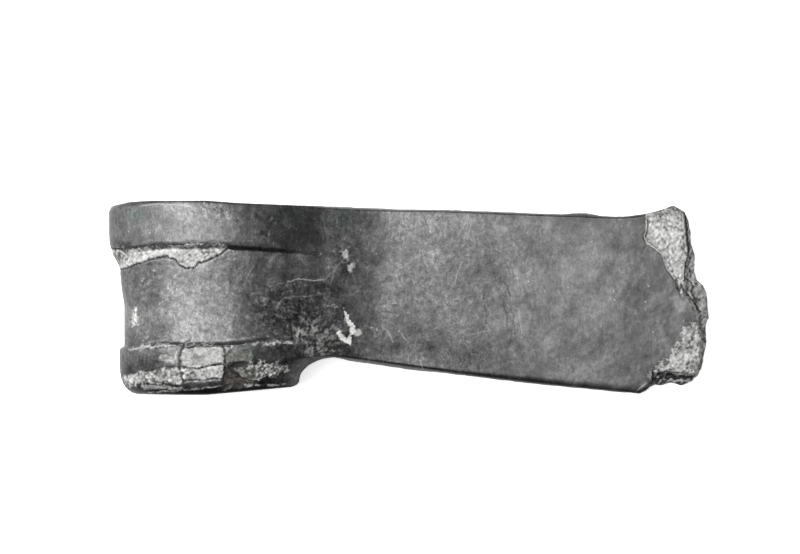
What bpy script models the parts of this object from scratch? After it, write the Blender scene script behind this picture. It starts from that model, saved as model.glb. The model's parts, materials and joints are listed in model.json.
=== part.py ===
"""A cast bronze shaft-hole axe head with a broken cutting edge, lying on its side on the ground.

The axe is shaped in its own frame and then laid down. In that frame X runs from the shaft hole to the
cutting edge, Y up along the shaft hole, and Z out of the near cheek, with the origin on the hole's axis.
Lengths are in metres, and the finished axe lies on Z = 0 with its box centred over the origin.
"""

import math

import bmesh
import bpy
import numpy as np
from mathutils import Matrix, Vector

mm = 0.001

# Socket: an oval tube, waisted between two collars
waist_length = 42.0 * mm  # outside, along the blade
waist_thickness = 26.0 * mm  # outside, from cheek to cheek
socket_top = 24.0 * mm  # upper end above the origin
socket_bottom = 24.3 * mm  # lower end below the origin
bottom_end_slope = 0.09  # rise of the lower end in front of the hole's axis
hole_length = 31.0 * mm  # along the blade, at the lower end
hole_thickness = 19.0 * mm  # from cheek to cheek, at the lower end
hole_draft = 0.6 * mm  # how much nearer its axis the hole's wall is at the upper end

# Collars, as the amount that they stand proud of the waist
top_collar_height = 12.4 * mm
top_collar_back = 3.9 * mm  # at the back, away from the blade
top_collar_side = 1.8 * mm  # at each cheek
top_collar_step = 1.6 * mm  # height of the slope from the collar down to the waist
bottom_collar_height = 11.5 * mm
bottom_collar_back = 1.2 * mm
bottom_collar_side = 1.2 * mm
bottom_collar_step = 0.9 * mm
top_rim_back = 1.6 * mm  # how far the upper rim rounds in at the back
top_rim_side = 0.8 * mm
top_rim_depth = 1.8 * mm  # height over which it rounds in
bottom_rim_back = 4.6 * mm
bottom_rim_side = 2.2 * mm
bottom_rim_depth = 6.0 * mm

# Blade outline
blade_reach = 125.0 * mm  # from the hole's axis to the furthest point of the break
neck_reach = 32.0 * mm  # to the narrowest part of the neck
neck_drop = 15.0 * mm  # underside of the neck below the origin
arc_start_reach = 22.8 * mm  # where the neck's arc leaves the socket
arc_start_drop = 21.0 * mm
arc_corner = 1.3 * mm  # corner between the socket's end and the arc
heel_reach = 108.0 * mm  # lower corner, where the break begins
heel_drop = 24.1 * mm
blade_belly = 0.7 * mm  # how far the lower edge bows out between neck and heel
flare_reach = 101.0 * mm  # where the upper edge starts to flare
flare_height = 20.1 * mm
corner_reach = 116.4 * mm  # upper corner
corner_height = 22.9 * mm
toe_reach = 121.0 * mm  # lower end of the broken cutting edge

# Blade thickness
neck_thickness = 10.4 * mm
edge_thickness = 2.8 * mm
flank_reach = 50.0 * mm  # where the socket's flank has run out into the cheek
flank_lean = 0.85  # under 1 brings the steepest part of the flank nearer the socket
flank_fillet = 1.0 * mm  # where the flank meets the front of the socket's oval
oval_spread = 1.08  # how far that front swells past the socket's thickness
oval_front = 1.5 * mm  # from the neck's arc to the foremost point of the oval
oval_opening = 8.0  # how fast the oval opens out into the flank above the neck
edge_round = 1.5 * mm  # rounding where the cheeks meet the narrow sides
side_flat = 0.6  # share of the thickness that the narrow sides keep
cheek_crown = 0.10  # share of the thickness lost from mid-height to the sides

# Breaks: the cutting edge from toe to corner, and the lost heel corner
edge_break = [  # share of the way up, set back from the blade's reach in mm
    (0.00, 4.0), (0.03, 2.7), (0.10, 1.4), (0.17, 1.0), (0.22, 0.5), (0.31, 0.8), (0.36, 0.0),
    (0.45, 0.2), (0.51, 0.6), (0.54, 1.4), (0.57, 2.9), (0.62, 3.6), (0.70, 3.4), (0.74, 3.7),
    (0.78, 4.4), (0.85, 4.6), (0.91, 5.0), (0.96, 5.9), (0.99, 7.6), (1.00, 8.6),
]
heel_break = [  # share of the way from heel to toe, height above the heel in mm
    (0.00, 0.0), (0.11, 0.8), (0.20, 1.9), (0.29, 2.3), (0.39, 2.1), (0.58, 2.7),
    (0.79, 2.0), (0.91, 2.6), (1.00, 3.1),
]
break_ridge = 0.45 * mm  # how far the middle of the broken face stands out
break_fade = 6  # power that keeps the ragged line's pull on the surface close to the break

# Places where the surface has come away from the near cheek
chip_left = 5.0 * mm  # lost piece of the lower collar, from here
chip_right = 20.5 * mm
chip_top_drop = 16.6 * mm
chip_depth = 1.6 * mm
chip_edge = 1.0 * mm  # run of the chip's steep sides
chip_end = 4.0 * mm  # run of its shallow right-hand end
flake_depth = 0.55 * mm  # skin lost along the cutting edge, in an upper and a lower patch
flake_edge = 1.5 * mm  # run of the step down into a patch
flake_reach = 110.0 * mm  # where both patches begin
upper_flake_height = 15.0 * mm  # the upper patch narrows below this height
upper_flake_slant = 0.64
lower_flake_drop = 20.0 * mm  # the lower patch narrows above this drop
lower_flake_slant = 0.9

# How finely the surface is divided
back_ribs = 13
socket_ribs = 9
arc_ribs = 6
blade_ribs = 15
break_ribs = 9
collar_rows = 9
waist_rows = 13
rim_crowding = 0.8  # under 1 spaces a collar's rows more evenly, over 1 crowds them to the rim
blade_lower_share = 0.22  # where the collars' rows run to on the blade, as shares of its height
blade_upper_share = 0.76
hole_sides = 48
cutter_spare = 6.0 * mm  # how far the hole's cutter passes both ends
smooth_angle = math.radians(35)  # sharper edges than this show as edges


def ease(t):
    """Smooth rise from 0 to 1 as t goes from 0 to 1."""
    t = np.clip(t, 0.0, 1.0)
    return t * t * (3.0 - 2.0 * t)


def quarter_round(t):
    """Quarter circle from 0 at t = 0 to 1 at t = 1."""
    return np.sqrt(1.0 - (1.0 - np.clip(t, 0.0, 1.0)) ** 2)


def soft_least(a, b, width):
    """The smaller of a and b, with the corner between them rounded over the given width."""
    share = np.clip(0.5 + 0.5 * (b - a) / width, 0.0, 1.0)
    return b + (a - b) * share - width * share * (1.0 - share)


def top_line(x):
    """Height of the upper outline: level behind the hole's axis, a straight fall, a curve up at the end."""
    slope = (socket_top - flare_height) / flare_reach
    straight = socket_top - slope * np.maximum(x, 0.0)
    flare_rise = corner_height - (socket_top - slope * corner_reach)
    flare = np.maximum(x - flare_reach, 0.0) / (corner_reach - flare_reach)
    return straight + flare_rise * flare**2


def bottom_end(x):
    """Height of the socket's lower end: level behind the hole's axis, rising in front of it."""
    return -socket_bottom + bottom_end_slope * np.maximum(x, 0.0)


def rib_ends():
    """Lower and upper outline points of the ribs from the hole's axis to the break: x and y of each."""
    last_flat = arc_start_reach - arc_corner
    socket = np.linspace(0.0, last_flat, socket_ribs)
    turn = np.linspace(0.0, math.pi / 2, arc_ribs)
    arc_x = neck_reach - (neck_reach - arc_start_reach) * np.cos(turn)
    arc_y = -arc_start_drop + (arc_start_drop - neck_drop) * np.sin(turn)
    blade = np.linspace(0.0, 1.0, blade_ribs + 1)[1:]
    blade_x = neck_reach + (heel_reach - neck_reach) * blade
    bow = blade_belly * np.sin(math.pi * blade)
    blade_y = -neck_drop - (heel_drop - neck_drop) * blade - bow
    lost = np.linspace(0.0, 1.0, break_ribs + 1)[1:]
    lost_x = heel_reach + (toe_reach - heel_reach) * lost
    ragged = np.interp(lost, [p[0] for p in heel_break], [p[1] * mm for p in heel_break])
    foot_x = np.concatenate([socket, arc_x, blade_x, lost_x])
    foot_y = np.concatenate([bottom_end(socket), arc_y, blade_y, ragged - heel_drop])
    spread = np.linspace(0.0, 1.0, arc_ribs + 1)[1:]
    head_arc_x = last_flat + (neck_reach - last_flat) * spread
    head_lost_x = heel_reach + (corner_reach - heel_reach) * lost
    head_x = np.concatenate([socket, head_arc_x, blade_x, head_lost_x])
    return foot_x, foot_y, head_x, top_line(head_x)


def row_heights(foot_y, head_x, head_y):
    """Height of every row on every rib. In the socket the rows follow the collars' steps."""
    into_blade = ease((head_x - arc_start_reach) / (flank_reach - arc_start_reach))
    height = head_y - foot_y
    lower_step = -socket_bottom + bottom_collar_height
    upper_step = socket_top - top_collar_height
    lower = lower_step + (foot_y + blade_lower_share * height - lower_step) * into_blade
    upper = upper_step + (foot_y + blade_upper_share * height - upper_step) * into_blade
    from_rim = (1.0 - np.cos(np.linspace(0.0, math.pi / 2, collar_rows)))[:, None] ** rim_crowding
    waist_bottom = lower + bottom_collar_step
    waist_height = upper - top_collar_step - waist_bottom
    lower_rows = foot_y + (lower - foot_y) * from_rim
    waist = waist_bottom + waist_height * np.linspace(0.0, 1.0, waist_rows)[:, None]
    upper_rows = head_y - (head_y - upper) * from_rim[::-1]
    return np.concatenate([lower_rows, waist, upper_rows])


def collar_shares(y):
    """How much of the upper and of the lower collar stands out at height y, from 0 to 1."""
    upper = ease((y - (socket_top - top_collar_height - top_collar_step)) / top_collar_step)
    lower = ease((bottom_collar_height - socket_bottom + bottom_collar_step - y) / bottom_collar_step)
    return upper, lower


def rim_shares(x, y):
    """How much of the upper and of the lower rim has rounded in at a point, from 0 to 1."""
    upper = 1.0 - quarter_round((top_line(x) - y) / top_rim_depth)
    end = bottom_end(np.minimum(x, arc_start_reach))
    lower = 1.0 - quarter_round((y - end) / bottom_rim_depth)
    return upper, lower


def half_length(y):
    """Distance of the socket's back from the hole's axis."""
    top_collar, bottom_collar = collar_shares(y)
    top_rim, bottom_rim = rim_shares(0.0, y)
    swell = top_collar_back * top_collar + bottom_collar_back * bottom_collar
    return waist_length / 2 + swell - top_rim_back * top_rim - bottom_rim_back * bottom_rim


def half_thickness(x, y):
    """Height of the socket's crest above the middle plane."""
    top_collar, bottom_collar = collar_shares(y)
    top_rim, bottom_rim = rim_shares(x, y)
    swell = top_collar_side * top_collar + bottom_collar_side * bottom_collar
    return waist_thickness / 2 + swell - top_rim_side * top_rim - bottom_rim_side * bottom_rim


def cheek_height(x, y, foot, head):
    """Height of the cheek over the middle plane, from the hole's axis to the break."""
    along = np.clip((x - neck_reach) / (blade_reach - neck_reach), -1.0, 1.0)
    blade = neck_thickness / 2 + (edge_thickness - neck_thickness) / 2 * along
    across = np.clip(2.0 * (y - foot) / (head - foot) - 1.0, -1.0, 1.0)
    blade = blade * (1.0 - cheek_crown * across**2)
    inward = np.minimum(y - foot, head - y) / edge_round
    on_blade = ease((x - arc_start_reach) / (neck_reach - arc_start_reach))
    blade = blade * (1.0 - on_blade * (1.0 - side_flat) * (1.0 - quarter_round(inward)))
    fall = ease((np.maximum(x, 0.0) / flank_reach) ** flank_lean)
    flank = blade + (half_thickness(x, y) - blade) * (1.0 - fall)
    arc = np.clip((y + arc_start_drop) / (arc_start_drop - neck_drop), 0.0, 1.0)
    socket_end = neck_reach - (neck_reach - arc_start_reach) * np.sqrt(1.0 - arc**2)
    above_neck = np.maximum(y + neck_drop, 0.0)
    reach = socket_end + oval_front + oval_opening * above_neck
    oval = oval_spread * half_thickness(x, y) * np.sqrt(np.maximum(1.0 - (x / reach) ** 2, 0.0))
    return np.where(x < neck_reach, soft_least(flank, oval, flank_fillet), flank)


def near_losses(x, y):
    """Depth of the surface lost from the near cheek: the chip in the lower collar and the flaked edge."""
    chip = ease((x - chip_left) / chip_edge) * ease((chip_right - x) / chip_end)
    chip = chip * ease((-chip_top_drop - y) / chip_edge)
    upper_line = flake_reach + upper_flake_slant * np.maximum(upper_flake_height - y, 0.0)
    lower_line = flake_reach + lower_flake_slant * np.maximum(y + lower_flake_drop, 0.0)
    flake = ease((x - np.minimum(upper_line, lower_line)) / flake_edge)
    return chip_depth * chip + flake_depth * flake


def right_ribs():
    """Points of the ribs from the hole's axis to the break, as (rows, ribs) arrays of x, y, near z, far z."""
    foot_x, foot_y, head_x, head_y = rib_ends()
    y = row_heights(foot_y, head_x, head_y)
    up = (y - foot_y) / (head_y - foot_y)
    x = foot_x + (head_x - foot_x) * up
    setback = np.interp(up[:, -1], [p[0] for p in edge_break], [p[1] * mm for p in edge_break])
    break_x = blade_reach - setback
    share = np.clip((x - neck_reach) / (x[:, -1:] - neck_reach), 0.0, 1.0)
    inner = (up > 0.0) & (up < 1.0)
    x = np.where(inner, x + (break_x[:, None] - x[:, -1:]) * share**break_fade, x)
    near = cheek_height(x, y, foot_y, head_y)
    far = -near
    near = near - near_losses(x, y)
    return x, y, near, far


def back_points(y):
    """Points round the socket's back, from behind the hole's axis to above it, at the rows' heights."""
    angle = np.linspace(0.0, math.pi / 2, back_ribs + 1)[:-1]
    x = -half_length(y) * np.cos(angle)
    z = half_thickness(x, y) * np.sin(angle)
    return x, y + 0.0 * x, z


def axe_points():
    """The closed rings of points round the axe, one for each row, and the number of ribs on one cheek."""
    x, y, near, far = right_ribs()
    back_x, back_y, back_z = back_points(y[:, :1])
    near_x = np.hstack([back_x, x])
    near_y = np.hstack([back_y, y])
    near_z = np.hstack([back_z, near])
    far_z = np.hstack([-back_z, far])
    ridge = np.stack([x[:, -1] + break_ridge, y[:, -1], 0.0 * y[:, -1]], axis=-1)
    front = np.stack([near_x, near_y, near_z], axis=-1)
    rear = np.stack([near_x, near_y, far_z], axis=-1)[:, :0:-1]
    return np.concatenate([front, ridge[:, None], rear], axis=1), near_x.shape[1]


def close_end(mesh, ring, ribs):
    """Closes an end: flat faces behind and in front of the hole's axis, then strips between the cheeks."""
    axis = back_ribs
    neck = back_ribs + socket_ribs - 1
    mesh.faces.new(ring[: axis + 1] + ring[-axis:])
    mesh.faces.new(ring[axis : neck + 1] + ring[-neck : -axis + 1])
    for rib in range(neck, ribs - 1):
        mesh.faces.new([ring[rib], ring[rib + 1], ring[-rib - 1], ring[-rib]])
    mesh.faces.new([ring[ribs - 1], ring[ribs], ring[ribs + 1]])


def mesh_object(name, mesh):
    """Puts a finished bmesh in the scene as an object, with its faces pointing out."""
    bmesh.ops.recalc_face_normals(mesh, faces=mesh.faces)
    data = bpy.data.meshes.new(name)
    mesh.to_mesh(data)
    mesh.free()
    data.shade_smooth()
    data.set_sharp_from_angle(angle=smooth_angle)
    thing = bpy.data.objects.new(name, data)
    bpy.context.collection.objects.link(thing)
    return thing


def bridge(mesh, below, above):
    """A band of faces between two closed rings of the same number of points."""
    for here in range(len(below)):
        after = (here + 1) % len(below)
        mesh.faces.new([below[here], below[after], above[after], above[here]])


def make_body():
    """The whole axe without its hole, as one closed skin bridged from ring to ring."""
    points, ribs = axe_points()
    mesh = bmesh.new()
    rings = [[mesh.verts.new(point) for point in row] for row in points]
    for below, above in zip(rings, rings[1:]):
        bridge(mesh, below, above)
    close_end(mesh, rings[0], ribs)
    close_end(mesh, rings[-1], ribs)
    return mesh_object("axe_head", mesh)


def make_hole_cutter():
    """The oval shaft hole as a solid, a little longer than the socket at both ends."""
    angle = np.linspace(0.0, 2.0 * math.pi, hole_sides, endpoint=False)
    mesh = bmesh.new()
    rings = []
    for y in (-socket_bottom - cutter_spare, socket_top + cutter_spare):
        inward = hole_draft * (y + socket_bottom) / (socket_top + socket_bottom)
        x = (hole_length / 2 - inward) * np.cos(angle)
        z = (hole_thickness / 2 - inward) * np.sin(angle)
        rings.append([mesh.verts.new((x[side], y, z[side])) for side in range(hole_sides)])
    bridge(mesh, *rings)
    mesh.faces.new(rings[0])
    mesh.faces.new(rings[1])
    cutter = mesh_object("hole_cutter", mesh)
    cutter.hide_render = True
    cutter.display_type = "WIRE"
    return cutter


def resting_turn(shape):
    """The turn that lays the axe on its far cheek, held up by both collars and the blade's end."""
    on_socket = shape[:, 0] < neck_reach
    upper = on_socket & (shape[:, 1] > 0.0)
    lower = on_socket & (shape[:, 1] < 0.0)
    blade = shape[:, 0] > blade_reach / 2
    turn = Matrix.Identity(3)
    for _ in range(8):
        turned = shape @ np.array(turn).T
        top, bottom, tip = (
            Vector(turned[part][turned[part][:, 2].argmin()]) for part in (upper, lower, blade)
        )
        up = (bottom - tip).cross(top - tip).normalized()
        up = up if up.z > 0.0 else -up
        turn = up.rotation_difference(Vector((0.0, 0.0, 1.0))).to_matrix() @ turn
    return turn


def lay_down(body):
    """Lays the axe on the ground, with the middle of its box over the origin."""
    shape = np.array([v.co for v in body.data.vertices])
    turn = resting_turn(shape)
    turned = shape @ np.array(turn).T
    middle = (turned.min(axis=0) + turned.max(axis=0)) / 2
    shift = Vector((-middle[0], -middle[1], -turned[:, 2].min()))
    return Matrix.Translation(shift) @ turn.to_4x4()


def make_bronze():
    """Old bronze with a dull grey patina."""
    bronze = bpy.data.materials.new("patinated_bronze")
    bronze.use_nodes = True
    shader = bronze.node_tree.nodes["Principled BSDF"]
    shader.inputs["Base Color"].default_value = (0.19, 0.19, 0.185, 1.0)
    shader.inputs["Metallic"].default_value = 0.35
    shader.inputs["Roughness"].default_value = 0.5
    return bronze


def make_axe():
    for old in list(bpy.data.objects):
        bpy.data.objects.remove(old, do_unlink=True)
    body = make_body()
    cutter = make_hole_cutter()
    place = lay_down(body)
    body.matrix_world = place
    cutter.matrix_world = place
    cut = body.modifiers.new("shaft_hole", "BOOLEAN")
    cut.operation = "DIFFERENCE"
    cut.solver = "EXACT"
    cut.object = cutter
    body.data.materials.append(make_bronze())
    return body


make_axe()
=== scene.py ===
import json
import math
import bpy
import numpy as np
from mathutils import Matrix, Vector


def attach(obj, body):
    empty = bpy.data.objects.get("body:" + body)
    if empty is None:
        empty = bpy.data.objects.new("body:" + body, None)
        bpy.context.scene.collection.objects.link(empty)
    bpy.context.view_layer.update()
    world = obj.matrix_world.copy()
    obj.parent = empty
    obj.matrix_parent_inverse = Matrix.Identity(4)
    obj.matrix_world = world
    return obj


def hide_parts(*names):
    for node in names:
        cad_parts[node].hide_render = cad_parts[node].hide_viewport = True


# A cast bronze shaft-hole axe head with a broken cutting edge, lying on its far cheek on a pale floor.
# Its surface is worked out in the axe's own frame in millimetres: x from the shaft hole to the cutting edge,
# y up along the hole, z out of the near cheek, the origin on the hole's axis. It is then laid down.

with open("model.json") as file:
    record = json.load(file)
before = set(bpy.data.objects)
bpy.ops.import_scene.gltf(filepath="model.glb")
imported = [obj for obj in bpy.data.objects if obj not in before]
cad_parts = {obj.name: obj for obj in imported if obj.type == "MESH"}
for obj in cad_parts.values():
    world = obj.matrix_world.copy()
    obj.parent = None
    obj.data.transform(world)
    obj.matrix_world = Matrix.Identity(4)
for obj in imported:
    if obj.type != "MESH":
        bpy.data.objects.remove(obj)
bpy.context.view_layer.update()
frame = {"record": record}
print("frame loaded")

mm = 0.001

socket = {
    "waistLength": 42.0,  # outside, along the blade
    "waistThickness": 26.0,
    "top": 24.0,
    "bottom": -24.3,
    "endSlope": 0.09,  # rise of the lower end in front of the hole's axis
    "topCollarHeight": 12.4,
    "topCollarSide": 1.8,
    "topCollarStep": 0.9,
    "topCollarFade": (17.0, 31.0),  # along the blade it dies away between these
    "topRim": (1.6, 0.8, 1.8),  # rounding at the back, at the cheeks, and the height it takes
    "bottomCollarHeight": 11.5,
    "bottomCollarBack": 1.2,
    "bottomCollarSide": 1.2,
    "bottomCollarStep": 1.1,
    "bottomRim": (4.6, 2.2, 6.0),
    # height, and how far the back stands out there: crust fills the corner under the top collar
    "backFlare": [(-24.0, 0.0), (-2.0, 0.1), (0.2, 0.5), (3.2, 0.9), (6.2, 1.2), (7.8, 1.3), (9.2, 2.0),
                  (10.8, 3.0), (12.2, 3.5), (13.8, 3.85), (16.0, 3.93), (24.0, 3.93)],
    # height of the collars' inner edges along the cheek
    "upperStepLine": [(-24.9, 11.6), (-18.5, 11.9), (-14.0, 12.5), (-9.5, 12.8), (3.0, 13.0), (6.0, 12.7),
                      (11.8, 12.4), (18.0, 12.0), (23.0, 11.5), (30.0, 10.8)],
    "lowerStepLine": [(-24.9, -13.2), (-18.5, -13.0), (-14.5, -12.5), (-11.0, -12.0), (-6.0, -12.2),
                      (4.2, -12.2), (8.0, -11.9), (14.0, -11.0), (21.0, -10.9), (25.0, -11.6)],
    "cornerWear": [(-24.9, 1.25), (-22.5, 0.9), (-19.5, 0.35), (-16.5, 0.1), (-13.0, 0.0)],
    "wearStart": 17.0,  # the corner wear grows from this height to the top
    "holeLength": 31.0,
    "holeThickness": 19.0,
    "holeDraft": 0.6,
}

blade = {
    "reach": 125.0,
    "neckReach": 32.0,
    "neckDrop": 15.0,
    "arcStartReach": 22.8,
    "arcStartDrop": 21.0,
    "arcCorner": 3.0,
    "heelReach": 108.0,
    "heelDrop": 24.1,
    "belly": 0.7,
    "topDip": [(0.0, 0.0), (8.0, 0.28), (48.0, 0.28), (60.0, 0.0)],  # how far the upper outline sags, along x
    "flareReach": 101.0,
    "flareHeight": 20.1,
    "cornerReach": 116.4,
    "cornerHeight": 22.9,
    "neckThickness": 10.4,
    "edgeThickness": 2.8,
    "flankStart": 2.0,
    "flankReach": 45.0,
    "flankFillet": 1.0,
    "ovalSpread": 1.08,
    "ovalFront": 1.5,
    "ovalOpening": 8.0,
    "upperRound": 0.7,  # rounding where the cheek meets the upper narrow side
    "lowerRound": [(32.0, 0.7), (60.0, 1.0), (85.0, 1.9), (120.0, 2.1)],  # and the lower one, along x
    "sideFlat": 0.6,
    # how far the narrow sides bulge beyond the near cheek's edge, along x: above and below
    "upperSwell": [(88.6, 0.13), (91.0, 0.6), (94.0, 0.75), (96.5, 0.45), (98.4, 0.13)],
    "lowerSwell": [(32.0, 0.13), (36.0, 0.5), (50.0, 0.5), (60.0, 0.13)],
    "cheekCrown": 0.10,
    "breakFade": 6,
    # the broken outline from the heel corner to the toe, and from the toe up to the upper corner
    "heelLine": [(108.0, -24.1), (109.5, -23.3), (110.6, -22.2), (111.8, -21.8), (113.1, -22.0),
                 (115.6, -21.4), (116.9, -21.6), (118.3, -22.1), (119.8, -21.5), (121.0, -21.0)],
    "edgeLine": [(121.0, -21.0), (122.3, -19.9), (123.6, -16.4), (124.0, -13.6), (124.5, -11.5),
                 (124.2, -7.3), (125.0, -5.3), (124.8, -1.1), (124.4, 1.3), (123.6, 2.9), (122.1, 4.2),
                 (121.4, 6.5), (121.6, 9.5), (121.3, 11.5), (120.6, 13.4), (120.4, 16.3), (120.0, 19.1),
                 (119.1, 21.2), (117.3, 22.4), (116.4, 22.9)],
}

grid = {
    # rows up the socket, as levels and the gap between rows from each level on
    "rowLevels": [-24.3, -22.6, -13.0, -11.4, 4.5, 13.0, 22.2, 24.0],
    "rowGaps": [0.24, 0.28, 0.24, 0.56, 0.26, 0.5, 0.26],
    "backColumns": 98,
    "socketColumns": 74,
    "cornerColumns": 5,
    "arcColumns": 32,
    # columns along the blade, as reaches and the gap from each reach on
    "bladeReaches": [32.0, 40.0, 100.0, 108.0],
    "bladeGaps": [0.34, 0.72, 0.32],
    "lostColumns": 58,
    "sideColumns": 7,  # across the narrow sides and the broken face
    "endRings": 8,  # from the outside of the socket's end to the hole
    "holeRows": 34,
    "annulusReach": 18.9,  # the ring round the hole ends here, the narrow side starts
}


# Repeatable number from 0 to 1 at a lattice point: its whole coordinates are mixed by multiply, shift, xor.
def latticeValue(i, j, k, seed):
    n = (i * 374761393 + j * 668265263 + k * 1440662683 + seed * 1274126177) & 0xFFFFFFFF
    n = ((n ^ (n >> 13)) * 1274126177) & 0xFFFFFFFF
    n = ((n ^ (n >> 15)) * 2246822519) & 0xFFFFFFFF
    return ((n ^ (n >> 16)) & 0xFFFFFF) / float(0xFFFFFF)


# Smooth noise from -1 to 1: lattice values at the eight corners of a point's cell, blended by 3t² - 2t³.
def softNoise(points, size, seed):
    at = points / size
    base = np.floor(at).astype(np.int64)
    t = at - base
    t = t * t * (3.0 - 2.0 * t)
    total = 0.0
    for corner in range(8):
        dx, dy, dz = corner & 1, (corner >> 1) & 1, corner >> 2
        weight = np.where(dx, t[..., 0], 1.0 - t[..., 0]) * np.where(dy, t[..., 1], 1.0 - t[..., 1])
        weight = weight * np.where(dz, t[..., 2], 1.0 - t[..., 2])
        total = total + weight * latticeValue(base[..., 0] + dx, base[..., 1] + dy, base[..., 2] + dz, seed)
    return 2.0 * total - 1.0


# Cell noise: every lattice cell holds one point at a random place. Gives the distances to the nearest and
# the second nearest such point as shares of the cell size, a random height for the nearest, and the height
# above the point of a plane that tilts at random through the nearest.
def cellNoise(points, size, seed):
    at = points / size
    base = np.floor(at).astype(np.int64)
    first = np.full(at.shape[:-1], 9.0)
    second = first.copy()
    value = np.zeros_like(first)
    plane = np.zeros_like(first)
    for cell in range(27):
        i, j, k = (base[..., axis] + (cell // 3**axis) % 3 - 1 for axis in range(3))
        away = [
            at[..., axis] - (n + latticeValue(i, j, k, seed + 11 + axis)) for axis, n in enumerate((i, j, k))
        ]
        distance = np.sqrt(away[0] ** 2 + away[1] ** 2 + away[2] ** 2)
        nearer = distance < first
        second = np.where(nearer, first, np.minimum(second, distance))
        first = np.where(nearer, distance, first)
        value = np.where(nearer, latticeValue(i, j, k, seed), value)
        tilt = sum(away[axis] * (latticeValue(i, j, k, seed + 21 + axis) - 0.5) for axis in range(3))
        plane = np.where(nearer, 2.0 * tilt, plane)
    return first, second, value, plane


# Smooth rise 3t² - 2t³ from 0 to 1.
def ease(t):
    t = np.clip(t, 0.0, 1.0)
    return t * t * (3.0 - 2.0 * t)


# Quarter circle √(1 - (1 - t)²) from 0 to 1.
def quarterRound(t):
    return np.sqrt(1.0 - (1.0 - np.clip(t, 0.0, 1.0)) ** 2)


# The smaller of a and b, with the corner between them rounded over a width.
def softLeast(a, b, width):
    share = np.clip(0.5 + 0.5 * (b - a) / width, 0.0, 1.0)
    return b + (a - b) * share - width * share * (1.0 - share)


# Value of a line of (place, value) pairs at every place.
def along(line, place):
    return np.interp(place, [p[0] for p in line], [p[1] for p in line])


# Places from the first level to the last, with the gap between neighbours given from each level on.
def spaced(levels, gaps):
    parts = [
        np.linspace(low, high, max(2, round((high - low) / gap)), endpoint=False)
        for low, high, gap in zip(levels, levels[1:], gaps)
    ]
    return np.append(np.concatenate(parts), levels[-1])


# Least distance in mm from every (x, y) to a line of points, segment by segment.
def lineDistance(x, y, points):
    least = np.full(np.shape(x), 99.0)
    for (ax, ay), (bx, by) in zip(points, points[1:]):
        run = max((bx - ax) ** 2 + (by - ay) ** 2, 1e-9)
        t = np.clip(((x - ax) * (bx - ax) + (y - ay) * (by - ay)) / run, 0.0, 1.0)
        least = np.minimum(least, np.hypot(x - ax - t * (bx - ax), y - ay - t * (by - ay)))
    return least


# Depth in mm inside a closed outline, negative outside: the distance to it, with the sign of an even-odd
# count.
def patchDepth(x, y, points):
    closed = points + points[:1]
    inside = np.zeros(np.shape(x), dtype=bool)
    for (ax, ay), (bx, by) in zip(closed, closed[1:]):
        if ay != by:
            crossing = ((ay > y) != (by > y)) & (x < (bx - ax) * (y - ay) / (by - ay) + ax)
            inside = inside ^ crossing
    distance = lineDistance(x, y, closed)
    return np.where(inside, distance, -distance)


# Upper outline: level behind the hole's axis, a straight fall, then a parabola up to the corner, less a
# slight sag over the socket and the first part of the blade.
def topLine(x):
    slope = (socket["top"] - blade["flareHeight"]) / blade["flareReach"]
    straight = socket["top"] - slope * np.maximum(x, 0.0)
    flareRise = blade["cornerHeight"] - (socket["top"] - slope * blade["cornerReach"])
    flare = np.maximum(x - blade["flareReach"], 0.0) / (blade["cornerReach"] - blade["flareReach"])
    return straight + flareRise * flare**2 - along(blade["topDip"], x)


# Lower end of the socket: level behind the hole's axis, a straight rise in front of it.
def bottomEnd(x):
    return socket["bottom"] + socket["endSlope"] * np.maximum(x, 0.0)


# Foot and head of every column from the hole's axis to the break. The feet follow the socket's end, a
# rounded corner, a quarter ellipse up to the neck, the bowed underside and the broken heel.
def columnEnds():
    lastFlat = blade["arcStartReach"] - blade["arcCorner"]
    flat = np.linspace(0.0, lastFlat, grid["socketColumns"], endpoint=False)
    turn = np.linspace(0.0, math.pi / 2, grid["cornerColumns"], endpoint=False)
    cornerX = lastFlat + blade["arcCorner"] * np.sin(turn)
    cornerRise = -blade["arcStartDrop"] - bottomEnd(lastFlat)
    cornerY = bottomEnd(lastFlat) + cornerRise * (1.0 - np.cos(turn))
    turn = np.linspace(0.0, math.pi / 2, grid["arcColumns"], endpoint=False)
    arcX = blade["neckReach"] - (blade["neckReach"] - blade["arcStartReach"]) * np.cos(turn)
    arcY = -blade["arcStartDrop"] + (blade["arcStartDrop"] - blade["neckDrop"]) * np.sin(turn)
    bladeX = spaced(grid["bladeReaches"], grid["bladeGaps"])
    share = (bladeX - blade["neckReach"]) / (blade["heelReach"] - blade["neckReach"])
    bow = blade["belly"] * np.sin(math.pi * share)
    bladeY = -blade["neckDrop"] - (blade["heelDrop"] - blade["neckDrop"]) * share - bow
    lost = np.linspace(0.0, 1.0, grid["lostColumns"] + 1)[1:]
    lostX = blade["heelReach"] + (blade["heelLine"][-1][0] - blade["heelReach"]) * lost
    footX = np.concatenate([flat, cornerX, arcX, bladeX, lostX])
    footY = np.concatenate([bottomEnd(flat), cornerY, arcY, bladeY, along(blade["heelLine"], lostX)])
    middle = grid["cornerColumns"] + grid["arcColumns"]
    headMiddle = np.linspace(lastFlat, blade["neckReach"], middle, endpoint=False)
    headLost = blade["heelReach"] + (blade["cornerReach"] - blade["heelReach"]) * lost
    headX = np.concatenate([flat, headMiddle, bladeX, headLost])
    return footX, footY, headX, topLine(headX)


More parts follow.
